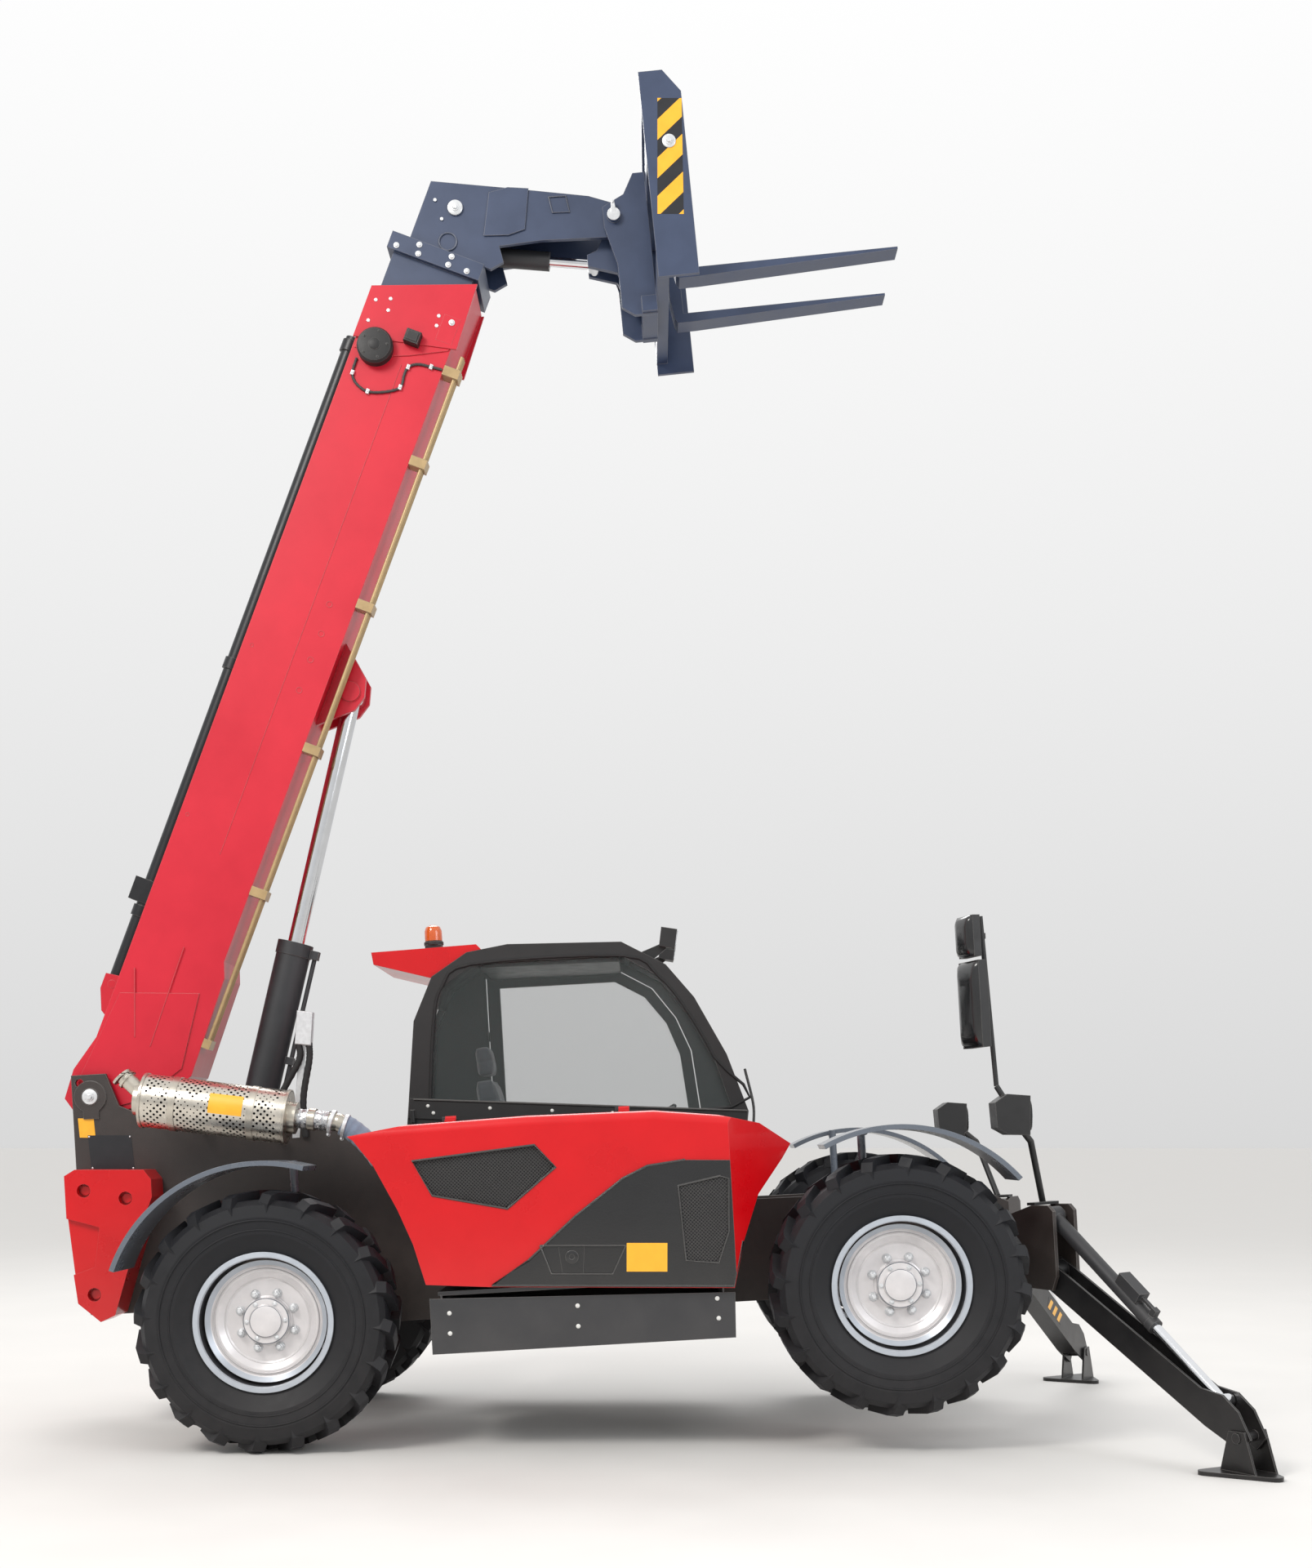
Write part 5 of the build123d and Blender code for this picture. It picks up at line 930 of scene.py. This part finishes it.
def apply(part):
    """Applies every modifier of a part to its mesh."""
    graph = bpy.context.evaluated_depsgraph_get()
    mesh = bpy.data.meshes.new_from_object(part.evaluated_get(graph))
    part.modifiers.clear()
    for key in part.data.materials:
        if key.name not in [m.name for m in mesh.materials if m]:
            mesh.materials.append(key)
    part.data = mesh
    mesh.shade_smooth()


class TELEHANDLER_OT_lamps(bpy.types.Operator):
    """Lenses, mirror glasses and the beacon's dome"""
    bl_idname = "telehandler.lamps"
    bl_label = "Lamps and mirrors"

    def execute(self, context):
        bm = bmesh.new()
        for side in (-1, 1):
            here = MACHINE @ Matrix.Translation((3718.3, side * 930, 1396)) @ Matrix.Rotation(math.radians(-90), 4, "Z")
            turned(bm, here, [(70, 0), (70, 2.5), (60, 5), (35, 7), (0, 8)], 40)
        for y in (342, 1040):
            plate(bm, MACHINE, [(2071.5, 2434), (2075, 2433), (2094, 2521), (2090, 2522)], y - 52, y + 52)
        piece("lamp_lenses", bm, "chassis", "dark_paint", "lens")
        bm = bmesh.new()
        here = MACHINE @ Matrix.Translation((740, 420, 2532)) @ Matrix.Rotation(math.radians(90), 4, "X")
        turned(bm, here, [(48, 23), (48.6, 40), (48, 78), (44, 90), (39.5, 100.5), (19, 110.8), (0, 110.8)], 40)
        piece("beacon_dome", bm, "chassis", "dark_paint", "amber")
        bm = bmesh.new()
        mirrors = [(MACHINE @ Matrix.Translation((x, -893, z)) @ Matrix.Rotation(math.radians(-70), 4, "Z"), thick,
                    wide, high) for x, z, thick, wide, high in ((3483, 2280, 40, 150, 200), (3492, 1950, 48, 190, 420))]
        for here, thick, wide, high in mirrors:
            plate(bm, here, rounded(wide - 18, high - 18, 24), thick / 2, thick / 2 + 1.2)
        piece("mirror_glasses", bm, "chassis", "dark_paint", "mirror")
        bm = bmesh.new()
        for here, thick, wide, high in mirrors:
            # domed backs of the mirror shells
            skin(bm, [trace(here, -thick / 2 - y, *rounded(wide * shrink, high * shrink, 26 * shrink))
                      for y, shrink in ((-2, 1.0), (14, 0.94), (24, 0.78), (29, 0.45))])
        piece("mirror_backs", bm, "chassis", "dark_paint", "moulding", sharp=50)
        return {"FINISHED"}


class TELEHANDLER_OT_chassis(bpy.types.Operator):
    """Blank plates, pin caps and relief valve of the chassis, and stripes of the left leg"""
    bl_idname = "telehandler.chassis"
    bl_label = "Chassis details"

    def execute(self, context):
        bm = bmesh.new()
        plate(bm, MACHINE, [(-1030, 1397), (-806, 1385), (-815, 1563), (-1040, 1575)], -251.2, -250.2)
        piece("blank_plate", bm, "chassis", "dark_paint", "dark vinyl")
        bm = bmesh.new()
        plate(bm, MACHINE, [(-1082, 1566), (-1000, 1560), (-1004, 1660), (-1086, 1666)], -251.0, -250.2)
        piece("yellow_plate", bm, "chassis", "dark_paint", "vinyl")
        bm = bmesh.new()
        for x, z in ((-1024, 1404), (-813, 1392), (-821, 1556), (-1033, 1567)):
            rivet(bm, MACHINE, x, z, -251.2, -1, 5)
        # caps of the boom's and lift cylinder's pins
        for x, z, r, face in ((-1015, 1774, 40, 259), (-369, 1100, 33, 259)):
            for side in (-1, 1):
                here = MACHINE @ Matrix.Translation((x, side * face, z))
                turned(bm, here, [(r, 0), (r, side * 5), (r - 6, side * 8), (0, side * 8)], 36)
                bolt(bm, here, 0, 0, side * 8, side, flats=27, head=14)
        piece("pin_caps", bm, "chassis", "rim_silver", "zinc")
        # relief valve on its post beside the lift cylinder, with its two formed pipes
        bm = bmesh.new()
        plate(bm, MACHINE, [(20, 1500), (60, 1500), (118, 1985), (86, 1985)], -252, -240, chamfer=2)
        plate(bm, MACHINE, [(66, 1985), (150, 1972), (170, 2145), (88, 2160)], -285, -225, chamfer=5)
        piece("relief_valve", bm, "chassis", "cylinder_paint", "zinc")
        bm = bmesh.new()
        for x0, x1, y in ((84, -30, -262), (138, 92, -262)):
            path = bend([MACHINE @ Vector(p) for p in ((x0, y, 1990), (x0 - 4, y, 1900), (x1, y, 1700),
                                                       (x1, y + 4, 1500))], 12)
            tube(bm, path, [0.0165 + 0.0016 * (k % 2) for k in range(len(path))], 14)
        piece("relief_pipes", bm, "chassis", "cylinder_paint", "seal")
        bm = bmesh.new()
        field = [(640, -34), (900, -34), (900, 34), (640, 34)]
        for face in (-1, 1):
            plate(bm, LEGS["left"], field, *out(face, 55.2, 55.8), 1)
            bands(bm, LEGS["left"], field, *out(face, 55.8, 56.2), 38, 76, 60)
        piece("leg_stripes_left", bm, "leg_left", "head_paint", "vinyl", "dark vinyl")
        return {"FINISHED"}


class TELEHANDLER_OT_stage(bpy.types.Operator):
    """Pale floor, soft studio light and the camera"""
    bl_idname = "telehandler.stage"
    bl_label = "Studio"

    def execute(self, context):
        bm = bmesh.new()
        # wide enough for its edge to meet the horizon
        bm.faces.new([bm.verts.new((AXLE_X + x, y, 0.0)) for x, y in around(64, 600)])
        mesh = bpy.data.meshes.new("floor")
        bm.to_mesh(mesh)
        bm.free()
        mesh.materials.append(surface("pale floor", linear("#D6D4D1"), 0.75, mottle=0.02, patch=900, grain=8,
                                      relief=0.04, soft=False))
        floor = bpy.data.objects.new("floor", mesh)
        context.scene.collection.objects.link(floor)
        world = bpy.data.worlds.new("studio")
        world.use_nodes = True
        # soft dome: bright overhead, pale at the horizon and dim below, so that glossy panels have something to mirror
        tree = world.node_tree
        way = add(tree, "ShaderNodeSeparateXYZ", {0: add(tree, "ShaderNodeTexCoord").outputs["Generated"]}).outputs["Z"]
        dome = add(tree, "ShaderNodeValToRGB", {"Fac": add(tree, "ShaderNodeMapRange",
                                                           {"Value": way, "From Min": -1.0}).outputs[0]})
        for k, (place, value) in enumerate(((0.0, 0.5), (0.49, 0.6), (0.5, 0.66), (0.62, 0.80), (0.8, 1.0))):
            stop = dome.color_ramp.elements[k] if k < 2 else dome.color_ramp.elements.new(place)
            stop.position, stop.color = place, (value, value, value, 1)
        tree.links.new(dome.outputs["Color"], tree.nodes["Background"].inputs["Color"])
        tree.nodes["Background"].inputs["Strength"].default_value = 1.05
        context.scene.world = world
        context.scene.view_settings.view_transform = "Standard"
        for name, place, aim, size, power, warmth in (
                ("key", (-5.5, -9.5, 11.0), (1.0, 0, 2.6), 4.0, 1100, (1.0, 0.97, 0.93)),
                ("fill", (10.5, -8.0, 6.0), (2.0, 0, 2.5), 5.0, 330, (0.93, 0.96, 1.0)),
                ("back", (0.5, 9.0, 12.0), (1.5, 0, 3.0), 6.0, 600, (1.0, 1.0, 1.0))):
            lamp = bpy.data.lights.new(name, "AREA")
            lamp.size, lamp.energy, lamp.color = size, power, warmth
            light = bpy.data.objects.new(name, lamp)
            light.location = (AXLE_X + place[0], place[1], place[2])
            light.rotation_euler = (Vector((AXLE_X + aim[0], aim[1],
                                            aim[2])) - light.location).to_track_quat("-Z", "Y").to_euler()
            context.scene.collection.objects.link(light)
        lens = bpy.data.cameras.new("camera")
        lens.lens, lens.sensor_width, lens.sensor_fit = 52.42, 36.0, "HORIZONTAL"
        lens.shift_x, lens.shift_y = 0.0022, 0.2738
        camera = bpy.data.objects.new("camera", lens)
        camera.location = (AXLE_X + 1.846, -10.180, 1.473)
        camera.rotation_euler = (math.radians(90), 0, 0)
        context.scene.collection.objects.link(camera)
        context.scene.camera = camera
        return {"FINISHED"}


class TELEHANDLER_PT_panel(bpy.types.Panel):
    """Lists the telehandler's pieces, sizes and colours"""
    bl_idname = "TELEHANDLER_PT_panel"
    bl_label = "Telehandler"
    bl_space_type = "VIEW_3D"
    bl_region_type = "UI"
    bl_category = "Telehandler"

    def draw(self, context):
        for operator in OPERATORS:
            self.layout.operator(operator.bl_idname)
        for group in (context.scene.telehandler_sizes, context.scene.telehandler_colours):
            for key in group.__annotations__:
                self.layout.prop(group, key)


OPERATORS = [TELEHANDLER_OT_finish, TELEHANDLER_OT_wheels, TELEHANDLER_OT_boom, TELEHANDLER_OT_neck,
             TELEHANDLER_OT_carriage, TELEHANDLER_OT_exhaust, TELEHANDLER_OT_pod, TELEHANDLER_OT_cab,
             TELEHANDLER_OT_lamps, TELEHANDLER_OT_chassis, TELEHANDLER_OT_stage]
CLASSES = [TelehandlerColours, TelehandlerSizes, *OPERATORS, TELEHANDLER_PT_panel]


def register():
    for item in CLASSES:
        bpy.utils.register_class(item)
    bpy.types.Scene.telehandler_colours = bpy.props.PointerProperty(type=TelehandlerColours)
    bpy.types.Scene.telehandler_sizes = bpy.props.PointerProperty(type=TelehandlerSizes)


def unregister():
    del bpy.types.Scene.telehandler_sizes
    del bpy.types.Scene.telehandler_colours
    for item in reversed(CLASSES):
        bpy.utils.unregister_class(item)


def main():
    register()
    for operator in OPERATORS:
        group, name = operator.bl_idname.split(".")
        getattr(getattr(bpy.ops, group), name)()


if __name__ == "__main__":
    main()
